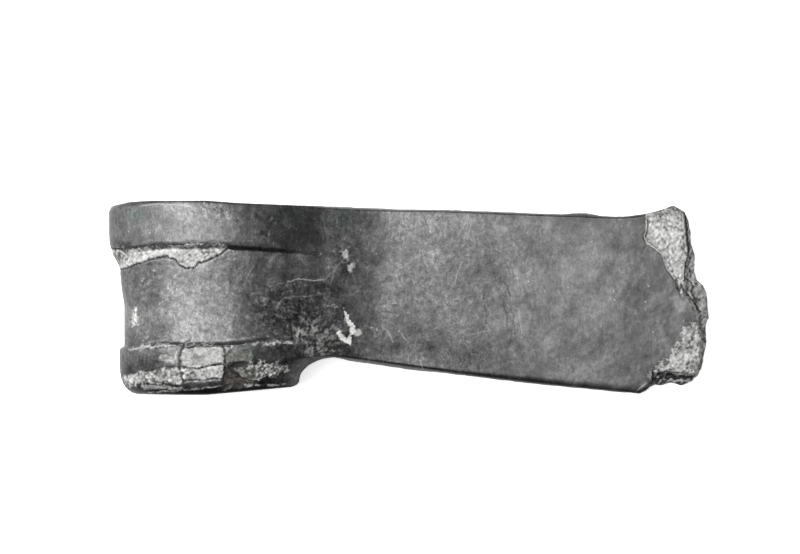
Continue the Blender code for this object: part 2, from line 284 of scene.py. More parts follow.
# Height of every row on every column. In the socket a row keeps its level, except that rows below the lower
# collar's step are squeezed above the foot; over the flank the rows spread out evenly up the blade.
def rowHeights(footY, headX, headY):
    level = spaced(grid["rowLevels"], grid["rowGaps"])[:, None]
    lowStep = socket["bottom"] + socket["bottomCollarHeight"]
    highStep = socket["top"] - socket["topCollarHeight"]
    squeezedLow = footY + (level - level[0]) * (lowStep - footY) / (lowStep - level[0])
    squeezedHigh = headY - (level[-1] - level) * (headY - highStep) / (level[-1] - highStep)
    height = np.where(level < lowStep, squeezedLow, np.where(level > highStep, squeezedHigh, level))
    even = footY + (headY - footY) * np.linspace(0.0, 1.0, len(level))[:, None]
    spread = ease((headX - blade["arcStartReach"]) / (blade["flankReach"] - blade["arcStartReach"]))
    return height + (even - height) * spread


# How much of the upper and lower collars stands out at a point, each a smooth step below or above its line.
def collarShares(x, y):
    upper = ease((y - along(socket["upperStepLine"], x)) / socket["topCollarStep"] + 1.0)
    lower = ease((along(socket["lowerStepLine"], x) - y) / socket["bottomCollarStep"] + 1.0)
    return upper, lower


# How far the upper and lower rims have rounded in, each one minus a quarter circle of the depth from its end.
def rimShares(x, y):
    upper = 1.0 - quarterRound((topLine(x) - y) / socket["topRim"][2])
    aboveEnd = y - bottomEnd(np.minimum(x, blade["arcStartReach"]))
    lower = 1.0 - quarterRound(aboveEnd / socket["bottomRim"][2])
    return upper, lower


# Distance of the socket's back from the hole's axis: waist, flare and collar, less the rims' rounding.
def halfLength(y):
    upper, lower = collarShares(-socket["waistLength"] / 2, y)
    topRim, bottomRim = rimShares(0.0, y)
    swell = along(socket["backFlare"], y) + socket["bottomCollarBack"] * lower
    rounding = socket["topRim"][0] * topRim + socket["bottomRim"][0] * bottomRim
    return socket["waistLength"] / 2 + swell - rounding


# Height of the socket's crest above the middle plane: waist and collars, less the rims' rounding.
def halfThickness(x, y):
    upper, lower = collarShares(x, y)
    topRim, bottomRim = rimShares(x, y)
    start, stop = socket["topCollarFade"]
    upper = upper * (1.0 - ease((x - start) / (stop - start)))
    swell = socket["topCollarSide"] * upper + socket["bottomCollarSide"] * lower
    rounding = socket["topRim"][1] * topRim + socket["bottomRim"][1] * bottomRim
    return socket["waistThickness"] / 2 + swell - rounding


# Height of the cheek over the middle plane: a straight taper along the blade, crowned across and rounded at
# its narrow sides, joined by an eased flank to the front of the socket's oval.
def cheekHeight(x, y, foot, head):
    run = np.clip((x - blade["neckReach"]) / (blade["reach"] - blade["neckReach"]), -1.0, 1.0)
    flat = blade["neckThickness"] / 2 + (blade["edgeThickness"] - blade["neckThickness"]) / 2 * run
    across = np.clip(2.0 * (y - foot) / (head - foot) - 1.0, -1.0, 1.0)
    flat = flat * (1.0 - blade["cheekCrown"] * across**2)
    inward = np.minimum((y - foot) / along(blade["lowerRound"], x), (head - y) / blade["upperRound"])
    onBlade = ease((x - blade["arcStartReach"]) / (blade["neckReach"] - blade["arcStartReach"]))
    flat = flat * (1.0 - onBlade * (1.0 - blade["sideFlat"]) * (1.0 - quarterRound(inward)))
    fall = ease((x - blade["flankStart"]) / (blade["flankReach"] - blade["flankStart"]))
    flank = flat + (halfThickness(x, y) - flat) * (1.0 - fall)
    arc = np.clip((y + blade["arcStartDrop"]) / (blade["arcStartDrop"] - blade["neckDrop"]), 0.0, 1.0)
    socketEnd = blade["neckReach"] - (blade["neckReach"] - blade["arcStartReach"]) * np.sqrt(1.0 - arc**2)
    aboveNeck = np.maximum(y + blade["neckDrop"], 0.0)
    reach = socketEnd + blade["ovalFront"] + blade["ovalOpening"] * aboveNeck
    front = np.sqrt(np.maximum(1.0 - (x / reach) ** 2, 0.0))
    oval = blade["ovalSpread"] * halfThickness(x, y) * front
    return np.where(x < blade["neckReach"], softLeast(flank, oval, blade["flankFillet"]), flank)


# The near cheek before any wear, as x, y, z on a grid of rows and columns from the back to the break. Behind
# the hole's axis a row is a quarter of an oval; in front of it a column leans from its foot to its head, and
# the broken outline pulls the columns near it by a power of their share of the reach.
def cheekSurface():
    footX, footY, headX, headY = columnEnds()
    y = rowHeights(footY, headX, headY)
    up = (y - footY) / (headY - footY)
    x = footX + (headX - footX) * up
    edge = sorted((height, reach) for reach, height in blade["edgeLine"])
    breakX = along(edge, y[:, -1])
    share = np.clip((x - blade["neckReach"]) / (x[:, -1:] - blade["neckReach"]), 0.0, 1.0)
    inner = (up > 0.0) & (up < 1.0)
    x = np.where(inner, x + (breakX[:, None] - x[:, -1:]) * share ** blade["breakFade"], x)
    z = cheekHeight(x, y, footY, headY)
    angle = np.linspace(0.0, math.pi / 2, grid["backColumns"], endpoint=False)
    backX = -halfLength(y[:, :1]) * np.cos(angle)
    backY = y[:, :1] + 0.0 * backX
    backZ = halfThickness(backX, backY) * np.sin(angle)
    x, y, z = np.hstack([backX, x]), np.hstack([backY, y]), np.hstack([backZ, z])
    fromStart = (y - socket["wearStart"]) / (socket["top"] - socket["wearStart"])
    return np.stack([x, y - along(socket["cornerWear"], x) * ease(fromStart), z], axis=-1)


# Marks on the near cheek, in mm along x and y of the axe's own frame. Patches are closed outlines;
# cracks and scratches are a width and points, some cracks being painted shadow lines; hairlines are a tone
# and points; clouds are a middle, two radii and how much paler or darker each makes the colour.
marks = {
    "upperCrust": [
        [(-26, 11.9), (-18.5, 12.1), (-14, 12.6), (-9.5, 12.9), (-2, 13.2), (3, 13.1), (5.9, 12.4),
        (3.6, 10.8), (1.3, 9.4), (-0.6, 8.8), (-1.8, 8.7), (-3.3, 7.3), (-5.2, 7.3), (-6.7, 8.1),
        (-7.9, 9.2), (-9.8, 10), (-11.7, 9.8), (-15.9, 8.7), (-18.6, 7.7), (-21.2, 7), (-26, 6.5)],
    ],
    "lowerCrust": [
        [(-22.2, -20), (-19.5, -19.4), (-15.5, -18.5), (-10.5, -17.5), (-5.6, -17.1), (-0.2, -16.9),
        (4.2, -17), (4, -19.9), (-0.2, -20.3), (-5.2, -20.8), (-6.2, -21.5), (-10.8, -21.6), (-16.2, -21.6),
        (-20.5, -22.5)],
    ],
    "neckCrust": [
        [(8.2, -17.2), (10.2, -16.4), (13.5, -15.9), (16.8, -16.2), (20.2, -16.4), (20.2, -17.8),
        (18, -19.3), (15, -19.9), (12, -20), (9.6, -19.6)],
    ],
    "upperEdge": [
        [(109.9, 26), (109.8, 16.5), (109, 15.2), (109.5, 14.1), (111, 12.6), (113, 10.9), (114.2, 9),
        (114.8, 7), (115.8, 5.1), (117, 4.2), (117.2, 2.5), (118.2, 1), (118.8, 3.8), (118.8, 7.6),
        (119.8, 10.5), (119, 15.2), (118.8, 18.8), (117.9, 21), (116, 22.4), (115, 26)],
    ],
    "lowerEdge": [
        [(109.6, -20.2), (112.5, -17.4), (114.2, -15), (115.5, -12.8), (116.2, -11.5), (118.8, -10.5),
        (118, -8.2), (121.9, -5.9), (122.9, -9.8), (122.7, -15.5), (121.9, -18.5), (120.4, -19.1),
        (114.5, -18.3)],
    ],
    "scab": [
        [(20.5, -6.5), (25, -5), (29.5, -6), (32.5, -8.5), (33.5, -12), (33, -16.5), (27, -17),
        (24.6, -15.5), (23.8, -12), (21.5, -10)],
    ],
    # ground on which pale specks gather: round the flank, by the upper chalk and on the upper rim
    "speckled": [
        [(12.5, 2), (22, 4.5), (31, 4), (35.5, -4), (35, -13), (24, -15.5), (14, -12.5), (11, -5)],
        [(31.5, 13.8), (36.8, 13), (38, 6), (33.5, 4), (30, 8)], [(-3, 24.5), (7.5, 24), (7, 19.5), (2, 20),
        (-2, 21.5)],
    ],
    "cavity": [
        [(4.3, -17.3), (5.8, -17.4), (7.6, -18.6), (9.4, -20.2), (11.4, -21.4), (10, -22.4), (4.2, -23)],
        [(5.4, -17), (7.5, -16.2), (10.3, -15.9), (10.6, -17), (7.5, -17.5), (5.6, -17.6)],
    ],
    "bare": [
        [(4.7, -14.2), (7.5, -13.4), (10.2, -13.8), (11.4, -14.8), (10.3, -16.4), (6.5, -17), (4.8, -17.2)],
        [(6.4, -17.5), (10.4, -16.9), (12.2, -18), (12.2, -20.2), (11.2, -21), (8.9, -19.7)],
    ],
    "rock": [
        [(111.6, -19.4), (113.2, -18.4), (115, -18.3), (118.4, -18.3), (121.3, -19), (121.6, -22),
        (116, -22.6), (111.6, -22.6)],
    ],
    "palePatch": [
        [(-5.6, -12.9), (-2.5, -12.5), (-0.2, -12.5), (2.1, -12.3), (4.1, -12.5), (4.4, -14.3),
        (4.3, -16.2), (2.1, -16.2), (-0.6, -16.8), (-2.5, -17.2), (-4.4, -17), (-5.8, -16.6),
        (-6.2, -14.7)],
    ],
    "paleLeft": [
        [(-11.8, -14.1), (-9.5, -13.9), (-7.2, -13.8), (-7.2, -16), (-9.5, -16.2), (-11.6, -15.6)],
    ],
    "paleStrip": [
        [(-17.5, -21.8), (-10.8, -22), (-6.4, -22.2), (-6.3, -23), (-16, -23.2)],
    ],
    # painted highlight: pale over the lower collar's inner edge, where its step faces up to the light
    "paintedStepHighlight": [
        [(-25, -12.6), (-18.5, -12.2), (-14.5, -11.6), (-11, -11.4), (-7, -11.6), (-7.2, -12.5),
        (-11, -12.4), (-14.5, -13), (-18.5, -13.4), (-25, -13.9)], [(-7, -11.6), (2, -11.4), (2, -12),
        (-7, -12.2)], [(9.5, -11.2), (13, -11), (13, -11.6), (9.5, -11.8)], [(13, -11.2), (17, -10.5),
        (21.4, -10.5), (21.4, -11.5), (17, -11.7), (13, -11.8)],
    ],
    "chalk": [
        [(33.9, -2.4), (34.5, -3.4), (35.3, -5), (36.3, -6.6), (37.3, -8.3), (36.9, -9.3), (35.6, -9),
        (34.9, -7), (34.2, -4.8)], [(32.3, -8.6), (33.2, -8.2), (33.6, -9.4), (34.6, -9.9), (35.4, -9.2),
        (36.3, -10.4), (35.6, -11.9), (34.2, -11.4), (32.9, -10.6)], [(-17.9, -2.6), (-17.5, -2.8),
        (-17.7, -4.2), (-17.3, -5.2), (-17.4, -6.6), (-17.9, -6), (-18, -4.4)],
    ],
    # thin chalk, fainter than the chalk itself
    "chalkDust": [
        [(-18.9, -3.6), (-18, -2.8), (-17.2, -4.4), (-17, -7.4), (-18.4, -7.8), (-19, -6.6)], [(36.8, -8),
        (38.3, -8), (38.8, -9.2), (37.6, -10.2), (36.4, -9.8)], [(-6.3, -8.2), (-5.5, -8.7), (-4.7, -8.4),
        (-5, -10.6)], [(-2.3, -8.9), (-1.4, -9.4), (-0.4, -8.8), (-1.2, -10.6)], [(40, -7.4), (41.6, -7.2),
        (41.6, -8.4), (40.4, -8.6)], [(34.8, 8.4), (36.4, 8.6), (37.2, 7.4), (36, 5.9), (34.9, 6.8)],
        [(33.2, 11.5), (34.6, 11.6), (35, 9.6), (33.4, 8.8)], [(31.2, 2.2), (32.6, 2.2), (32.2, 1)],
        [(22.2, -8.2), (22.8, -6.8), (23.5, -7.4), (23.3, -9.6), (22.7, -10.5), (22, -9.8)], [(25.4, -6),
        (26.6, -7), (28.3, -6.6), (28, -7.7), (26.4, -8.1), (25.2, -7)], [(26.2, -3.6), (27.2, -4),
        (26.8, -5.4)], [(25.9, -12), (27, -12.2), (26.6, -14.4)],
    ],
    # where the cheek ends and the broken face falls away towards the far cheek
    "fracture": [
        (112, -18.6), (114.5, -18.4), (118, -18.8), (120.4, -19.2), (121.9, -18.5), (122.7, -15.5),
        (122.9, -9.8), (122.2, -6), (121.8, -3.8), (120.6, -0.8), (119, 1.4), (118.8, 3.8), (118.8, 7.6),
        (119.8, 10.5), (119, 15.2), (118.8, 18.8), (117.9, 21), (116, 22.4),
    ],
    # a half width in mm, then its points; the lines along the upper collar's step are grooves painted dark as
    # shadow
    "cracks": [
        (0.22, [(-23, 6.6), (-21.2, 7), (-18.6, 7.7), (-15.9, 8.7), (-11.7, 9.8), (-9.8, 10), (-7.9, 9.2),
        (-6.7, 8.1), (-5.2, 7.3), (-3.3, 7.3), (-1.8, 8.7), (-0.6, 8.8), (1.3, 9.4), (3.6, 10.8),
        # the three lines along the upper collar's step, x -24.4 to 28, are grooves whose dark colour is
        # painted shadow under the collar's edge
        (6, 12.5)]), (0.28, [(-24.4, 11.8), (-18.5, 12.1), (-14, 12.7), (-9.5, 13), (-2, 13.2), (3, 13.2),
        (6.2, 12.9)]), (0.46, [(6, 12.7), (11.8, 12.3), (18, 11.9), (23, 11.4)]), (0.25, [(22, 11.5),
        (25, 11.2), (28, 10.9)]), (0.3, [(-5.4, -11.2), (-6, -12.8), (-6.8, -15.1), (-6.9, -17),
        (-6.1, -18.9), (-6, -22.6)]), (0.3, [(-5.8, -11.6), (-4.2, -11.2)]), (0.15, [(-6, -12.8),
        (-2.5, -12.3), (2.1, -12.1), (4.4, -12.1), (6, -12.3)]), (0.3, [(4.2, -12.2), (4.5, -14.2),
        (4.8, -16.6), (4.4, -18.5), (3.8, -23.4)]), (0.22, [(-5.5, -20.8), (-0.8, -20.5), (3.7, -20.1)]),
        (0.2, [(-5.8, -17.4), (-2, -17.6), (1.8, -16.8), (4.3, -16.7)]), (0.2, [(6.2, -18.6), (8.8, -19.9),
        (11.5, -21)]), (1.15, [(6.5, -16.9), (8, -16.8), (9.8, -16.6)]), (0.32, [(12.4, 20.2), (13.6, 19.6),
        (15.2, 19), (16, 19.6)]), (0.2, [(15.2, 19), (17, 18.3)]), (0.2, [(13.5, 15.8), (15.2, 15.8)]),
        (0.3, [(118.4, 3), (119, 2), (120.8, -0.5), (123, -3.8)]), (0.26, [(119.2, 21), (119.6, 16),
        (120.2, 11.5), (119.3, 8), (119, 4)]), (0.2, [(119.2, 8), (120.4, 7), (120.8, 5)]), (0.2,
        [(119.3, 4.6), (121, 3.6), (121.6, 2.2)]), (0.22, [(110.6, -21.6), (112.4, -19.4), (114.6, -18.6),
        (117, -18.9), (119.4, -18.6)]), (0.24, [(111.6, -20.8), (114, -20.2), (116.2, -20.6), (118.4, -20),
        (120.4, -20.3)]),
    ],
    "scratches": [
        (0.28, [(-6.2, -8), (-5.5, -9.2), (-5.3, -10.4)]), (0.24, [(-4.7, -8), (-5.3, -9)]), (0.28,
        [(-2.2, -8.8), (-1.4, -9.6), (-1.2, -10.6)]), (0.24, [(-0.4, -8.7), (-1.2, -9.6)]), (0.22,
        [(-16.9, -9.9), (-16.1, -10.7)]), (0.22, [(-15.2, -10.4), (-14.5, -9.7)]), (0.22, [(-12.9, -9.7),
        (-11.5, -9.8)]), (0.26, [(-15.8, 4.6), (-16.3, 3.9)]), (0.26, [(-13.4, 6.8), (-12.3, 6.2)]), (0.2,
        [(-11.8, -1.6), (-10, -0.6)]), (0.22, [(-16.2, -24), (-11.8, -23.6), (-7.8, -23.3), (0.2, -22.5),
        (3.6, -22.1)]), (0.32, [(9.8, -21.9), (15.8, -21.9), (19.5, -21.5)]), (0.26, [(-5.2, -17.5),
        (-1, -16.9), (2, -17.3), (4.2, -17)]), (0.3, [(118, -18.4), (119.6, -18.9), (121, -19.2)]), (0.3,
        [(72, 14.5), (72.05, 14.4)]), (0.26, [(110.2, 2.8), (110.25, 2.7)]),
    ],
    # lines finer than the mesh, with how pale (above 0) or dark each one is; the pale one along the upper rim
    # is a painted highlight
    "hairlines": [
        (0.95, [(109.6, 20.5), (109.5, 16.5), (109, 15.2), (109.8, 13.6), (111.2, 12.4), (113, 10.9),
        (114.2, 8.9), (114.9, 6.8), (116.2, 5)]), (0.4, [(107.6, -23.2), (109.4, -21.7)]), (0.8,
        [(117.6, -18.5), (120.2, -18.6)]), (0.42, [(20.5, 4), (23, 4.5), (26, 4.2), (28.8, 4.4)]), (0.15,
        [(18, 3.4), (19, 3.2), (20, 2.6)]), (0.2, [(29.3, 4.2), (30, 5.6), (31.2, 6.6)]), (0.2,
        [(32.8, 8.4), (31.4, 6.2), (30.6, 3.4)]), (-0.6, [(-5.6, -11.1), (-4.6, -10.8)]), (0.25,
        # painted highlight: the pale line along the upper rim, from x -15.6 to -4.4
        [(22.2, -8.2), (22.7, -10.4)]), (0.35, [(-15.6, 22.9), (-10, 23.2), (-4.4, 22.7)]), (-0.45,
        [(68.9, 0.6), (69.4, -3), (69.6, -6.2)]), (-0.5, [(74, 3.6), (74.8, 2.4), (75.6, 0.6)]), (-0.55,
        [(74, -2.2), (74.6, -4.4), (74.9, -8.4)]), (-0.45, [(75.8, -3.6), (76.5, -5.6), (76.7, -9)]), (0.2,
        [(77.8, -4), (78.4, -8)]), (0.18, [(62.8, 15.5), (63.6, 17.6), (64.9, 19.6)]), (0.16, [(65, 15.6),
        (66.4, 19.2)]), (0.22, [(61.8, 4.2), (62.3, 6), (63.2, 8.2)]), (0.2, [(43.8, -7.2), (45.2, -9),
        (46, -11)]), (0.26, [(48.4, -9.2), (49.4, -10.4)]), (0.3, [(53, -16.2), (53.4, -17.6)]), (-0.2,
        [(36, 0.6), (39, 0.2), (43, 0.3)]), (-0.2, [(38.5, -4), (42, -3.6), (46.5, -3.7)]), (-0.2,
        [(35, -3), (40.5, -2.6)]), (-0.4, [(14, 15.8), (15.4, 15.8)]), (0.18, [(10.2, 4.8), (10.6, 6.2),
        (11.4, 7.3)]), (0.22, [(17.6, -2.4), (18, -1.2), (19.2, -0.5), (20.4, -0.2)]), (-0.45,
        [(17.8, -0.6), (19.4, 0.4), (21.4, 0.9)]), (0.16, [(21.4, 0.2), (25, 0.2), (29, 0.9)]), (-0.35,
        [(9, 1.2), (14, 1.4), (19, 2.2)]), (-0.3, [(17, 6.4), (22, 6.8), (27, 6.6)]),
    ],
    # faint green: middle, radii and strength
    "verdigris": [
        (-18, 20.4, 2.4, 1.6, 1), (20.5, 20.3, 3.5, 2, 1), (34, 20.2, 2.4, 2.2, 1),
        (11, -14.6, 1.6, 1.4, 0.8), (8, -23.2, 4, 0.8, 0.7), (112.6, -20.4, 2, 1.2, 0.5),
    ],
    # soft patches where the colour is clearly darker or paler, only slight 0.15, plain 0.25 or strong 0.4,
    # some of them painted shade as marked below; all finer mottling is noise
    "clouds": [
        # lower collar: painted shade below, where the rim turns down, a dark band at its back, greyer crust,
        # the chip's olive part and dark rim
        (-12.0, -23.5, 10.0, 1.0, -0.4), (11.0, -23.0, 8.0, 1.0, -0.4), (-16.5, -16.5, 5.0, 2.5, -0.25),
        (-10.0, -19.5, 11.0, 2.5, -0.4), (14.0, -18.0, 6.0, 2.0, -0.4), (8.0, -13.0, 4.0, 2.0, 0.25),
        (7.0, -15.0, 2.5, 1.5, -0.25), (17.0, -21.0, 6.0, 1.0, -0.4), (15.0, -14.0, 7.0, 2.0, -0.15),
        # waist: pale along its back, painted shadow close under the upper collar
        (-19.5, -3.0, 2.5, 6.0, 0.25), (-20.5, 12.5, 3.5, 0.5, -0.25),
        # flank: dark, partly dark patina and partly painted shade where it turns away from the light, darkest
        # along the neck in painted shade, pale around the upper chalk
        (18.0, 13.5, 6.0, 3.0, -0.15), (21.0, -4.0, 5.0, 4.0, -0.25), (33.0, -13.5, 4.0, 2.0, -0.25),
        (30.0, -15.0, 6.0, 0.5, -0.4), (32.0, 10.0, 5.0, 4.0, 0.25),
        # blade: dark low in the middle, a few pale areas
        (67.0, -15.0, 10.0, 4.5, -0.25), (52.0, -12.0, 8.0, 4.0, -0.15), (76.5, -6.0, 4.0, 2.5, 0.25),
        (73.0, 17.5, 2.5, 1.5, 0.25), (92.0, 6.0, 4.0, 6.0, 0.15),
        # broken edge: dark ledges and tip, pale ground between the two crusts
        (114.0, 22.0, 5.0, 2.0, -0.4), (121.5, -15.0, 1.5, 4.0, -0.25), (115.5, -20.5, 6.0, 1.5, -0.4),
        (118.5, -1.5, 2.5, 2.5, 0.25),
    ],
}

# What each measure is where its kind of surface is absent
plainMeasures = {
    "crust": -9.0, "scab": -9.0, "pale": -9.0, "chalk": -9.0, "cavity": -9.0, "bare": -9.0, "crack": 9.0,
    "scratch": 9.0, "broken": -9.0, "rock": -9.0, "speckled": -9.0, "hairAcross": 9.0, "hairTone": 0.0,
    "verdigris": 0.0, "grit": 0.8, "tint": 0.0, "ridge": 0.0,
}

wear = {
    # how many times the noise moves the outline of each kind of patch, so that it is ragged
    "ragged": {"upperEdge": 1.0, "lowerEdge": 2.5, "upperCrust": 1.0, "lowerCrust": 2.0, "neckCrust": 2.5,
               "scab": 3.0, "palePatch": 0.45, "paleLeft": 2.0, "paleStrip": 1.0, "paintedStepHighlight": 2.0,
               "chalkDust": 2.5, "chalk": 1.6, "cavity": 2.0, "bare": 2.5, "rock": 2.0, "speckled": 4.0},
    # how far inside their outlines the pale films and the painted step highlight start, mm
    "paleInset": {"palePatch": 0.0, "paleLeft": 0.3, "paleStrip": 0.1, "paintedStepHighlight": 0.2, "chalkDust": 0.3},
    # crusts: the mm over which each rises, its share already there at the outline, its grains, their height
    # and how far it is sunk
    "crusts": [("upperEdge", 0.3, 0.5, "grains", 0.30, 0.45), ("lowerEdge", 0.6, 0.3, "grains", 0.26, 0.20),
               ("upperCrust", 0.3, 0.5, "grains", 0.22, 0.10), ("lowerCrust", 0.3, 0.5, "lumps", 0.30, 0.20),
               ("neckCrust", 0.5, 0.5, "smallGrains", 0.42, 0.30),
               ("scab", 0.8, 0.5, "smallGrains", 0.20, 0.12)],
    # lost metal: the share already there at the outline, its depth and how uneven its blocks make it
    "losses": [("cavity", 0.3, 0.75, 0.30), ("bare", 0.4, 0.22, 0.16)],
    # how strong the skin's finer mottling is, along x
    "grit": [(8.0, 1.12), (25.0, 1.0), (45.0, 1.05), (70.0, 0.9), (85.0, 0.6), (120.0, 0.5)],
}


# Every measure at its plain value, in arrays of one shape.
def plainArrays(shape):
    return {name: np.full(shape, value) for name, value in plainMeasures.items()}


# How near every (x, y) is to the nearest of several lines, as its distance over that line's width.
def lineShare(x, y, lines):
    return np.min([lineDistance(x, y, points) / width for width, points in lines], axis=0)


# How deep every (x, y) lies in the nearest of several patches, in mm, negative outside them all.
def anyPatch(x, y, outlines):
    return np.max([patchDepth(x, y, outline) for outline in outlines], axis=0)


# For every (x, y), the signed distance across the nearest hairline, which stays straight between mesh points,
# and that line's tone, fading out from 0.4 to 0.9 mm away from it.
def hairShares(x, y, lines):
    least = np.full(np.shape(x), 99.0)
    across, tone = least.copy(), np.zeros_like(least)
    for amount, points in lines:
        for (ax, ay), (bx, by) in zip(points, points[1:]):
            distance = lineDistance(x, y, [(ax, ay), (bx, by)])
            side = ((x - ax) * (by - ay) - (y - ay) * (bx - ax)) / math.hypot(bx - ax, by - ay)
            nearer = distance < least
            least = np.where(nearer, distance, least)
            across = np.where(nearer, side, across)
            tone = np.where(nearer, amount, tone)
    return across, tone * ease((0.9 - least) / 0.5)


# Sum of soft clouds at every (x, y): each is its amount times e to the power of minus the squared distance
# over its radii.
def cloudSum(x, y, clouds):
    total = np.zeros(np.shape(x))
    for middleX, middleY, radiusX, radiusY, amount in clouds:
        total = total + amount * np.exp(-(((x - middleX) / radiusX) ** 2) - ((y - middleY) / radiusY) ** 2)
    return total


# Heights of a crust of grains: a dome 1 - (distance / radius)² on every cell of two sizes, at random heights,
# at points pushed about by noise so that no two grains are alike.
def grainDomes(points, size, seed):
    bend = np.stack([softNoise(points, 1.5 * size, seed + 30 + axis) for axis in range(3)], axis=-1)
    points = points + 0.4 * size * bend
    nearest, _, chance, _ = cellNoise(points, size, seed)
    fine, _, fineChance, _ = cellNoise(points, size * 0.55, seed + 50)
    coarse = np.clip(1.0 - (nearest / 0.7) ** 2, 0.0, 1.0) * (0.3 + 0.7 * chance)
    return coarse + 0.4 * np.clip(1.0 - (fine / 0.65) ** 2, 0.0, 1.0) * fineChance


# Relief of the near cheek and how deep every point lies in each kind of surface, all in mm. Each patch adds
# its rise 3t² - 2t³ from its outline inwards, times its grains less its depth; each crack and scratch adds a
# height times e to the power of minus the squared distance over its width. The outlines are read at points
# pushed about by noise.
def nearRelief(points):
    push = 0.25 * softNoise(points, 1.5, 1) + 0.12 * softNoise(points, 0.6, 2)
    shove = 0.25 * softNoise(points, 1.5, 3) + 0.12 * softNoise(points, 0.6, 4)
    flurry = 0.45 * softNoise(points, 1.1, 8) + 0.2 * softNoise(points, 0.6, 9)
    x, y = points[..., 0], points[..., 1]
    depth = {
        name: anyPatch(x + times * push, y + times * shove, marks[name])
        for name, times in wear["ragged"].items()
    }
    # these two break up into specks at their edges
    depth["lowerEdge"] = 0.34 * depth["lowerEdge"] - 0.1 + flurry
    depth["neckCrust"] = 0.6 * depth["neckCrust"] + flurry
    mineral = ("upperEdge", "lowerEdge", "upperCrust", "lowerCrust", "neckCrust")
    crust = np.max([depth[name] for name in mineral], axis=0)
    pale = np.max([depth[name] - inset for name, inset in wear["paleInset"].items()], axis=0)
    pale = pale - 1.2 * ease((-18.8 - x) / 3.0)  # dies away round the back
    crack = lineShare(x + 0.8 * push, y + 0.8 * shove, marks["cracks"])
    scratch = lineShare(x + 0.8 * push, y + 0.8 * shove, marks["scratches"])
    hairAcross, hairTone = hairShares(x + 1.1 * push, y + 1.1 * shove, marks["hairlines"])
    fracture = lineDistance(x + 0.45 * push, y + 0.45 * shove, marks["fracture"])
    outside = x > along(sorted((b, a) for a, b in marks["fracture"][4:]), y)
    below = (y < -18.7) & (x > 111.0)
    broken = np.where((outside & (x > 112.0)) | below, fracture, -fracture)

    lumps = grainDomes(points * np.array([0.62, 1.0, 1.0]), 1.15, 32)
    smallGrains = grainDomes(points, 0.7, 33)
    kinds = {"grains": grainDomes(points, 0.95, 31), "lumps": lumps, "smallGrains": smallGrains}
    _, _, blockChance, block = cellNoise(points, 2.6, 51)
    relief = 0.07 * softNoise(points, 7.0, 5) + 0.03 * softNoise(points, 2.2, 6) - 0.15
    relief = relief + 0.018 * softNoise(points, 0.8, 7)
    for name, rise, lead, kind, height, sunk in wear["crusts"]:
        relief = relief + ease(depth[name] / rise + lead) * (height * kinds[kind] - sunk)
    relief = relief + 0.30 * ease(depth["upperCrust"]) * ease(12.4 - y)  # fuller in the collar's corner
    relief = relief - 0.10 * ease(pale / 0.2 + 0.5)
    for name, lead, deep, uneven in wear["losses"]:
        relief = relief - ease(depth[name] / 0.8 + lead) * (deep + uneven * block)
        relief = relief + ease(depth[name] / 0.4) * 0.14 * smallGrains
    relief = relief - ease(depth["rock"] / 0.6 + 0.3) * (0.30 + 0.5 * block - 0.40 * lumps)
    relief = relief - 0.26 * np.exp(-(crack**2)) + 0.05 * np.exp(-(scratch**2))
    relief = relief + 0.08 * ease(depth["chalk"] / 0.3)
    drop = ease(broken / 1.3) * (0.70 + 0.25 * blockChance) + ease(broken / 0.5) * 0.15
    relief = relief - drop * (1.0 + 0.45 * block) + ease(broken / 0.5) * 0.25 * (smallGrains - 0.4)
    smoother = 0.25 * ease((y - 12.0) / 2.0) * ease((14.0 - x) / 6.0)  # on the upper collar
    measures = {name: depth[name] for name in ("scab", "chalk", "cavity", "bare", "rock", "speckled")}
    measures.update(
        crust=crust, pale=pale, crack=crack, scratch=scratch, broken=broken, hairAcross=hairAcross,
        hairTone=hairTone, grit=along(wear["grit"], x) * (1.0 - smoother),
        tint=cloudSum(x + 6.0 * push, y + 6.0 * shove, marks["clouds"]),
        verdigris=cloudSum(x + 4.0 * push, y + 4.0 * shove, marks["verdigris"]),
    )
    return relief, measures


# Relief of the far cheek: the same kinds of wear in keeping, from noise alone. Crust lies under the upper
# collar, over the lower rim and along the broken edge, as deep as a band's half width less the distance from
# its middle, plus noise.
def farRelief(points):
    x, y = points[..., 0], points[..., 1]
    wander = 1.3 * softNoise(points, 4.0, 61) + 0.5 * softNoise(points, 1.3, 62)
    grains = grainDomes(points, 1.1, 63)
    block = cellNoise(points, 2.6, 64)[3]
    underCollar = 1.3 - np.abs(y - 10.6) + wander - 4.0 * ease((x - 20.0) / 6.0)
    overRim = 1.4 - np.abs(y + 19.6) + wander - 4.0 * ease((x - 14.0) / 4.0)
    toEdge = along(sorted((b, a) for a, b in blade["edgeLine"]), y) - x
    crust = np.max([underCollar, overRim, 2.6 - toEdge + 2.2 * wander], axis=0)
    broken = 0.9 - toEdge + 0.5 * wander
    relief = 0.07 * softNoise(points, 7.0, 65) + 0.03 * softNoise(points, 2.2, 66) - 0.15
    relief = relief + ease(crust / 0.4 + 0.5) * (0.25 * grains - 0.2)
    relief = relief - ease(broken / 0.8) * 0.3 * (1.0 + block)
    measures = plainArrays(np.shape(x))
    measures.update(crust=crust, broken=broken, tint=0.25 * softNoise(points, 9.0, 67))
    return relief, measures


# How far every point of a grid stands out from the mean of its neighbours two rows and columns away.
def ridgeHeight(lift):
    padded = np.pad(lift, 2, mode="edge")
    rows, columns = lift.shape
    mean = (padded[:rows, 2:-2] + padded[4:, 2:-2] + padded[2:-2, :columns] + padded[2:-2, 4:]) / 4.0
    return lift - mean


# Unit normals of a grid of points: the cross product of its differences along columns and rows.
def gridNormals(points, outward):
    across = np.gradient(points, axis=1)
    up = np.gradient(points, axis=0)
    normal = np.cross(across, up)
    normal = normal / np.maximum(np.linalg.norm(normal, axis=-1, keepdims=True), 1e-9)
    return normal * outward


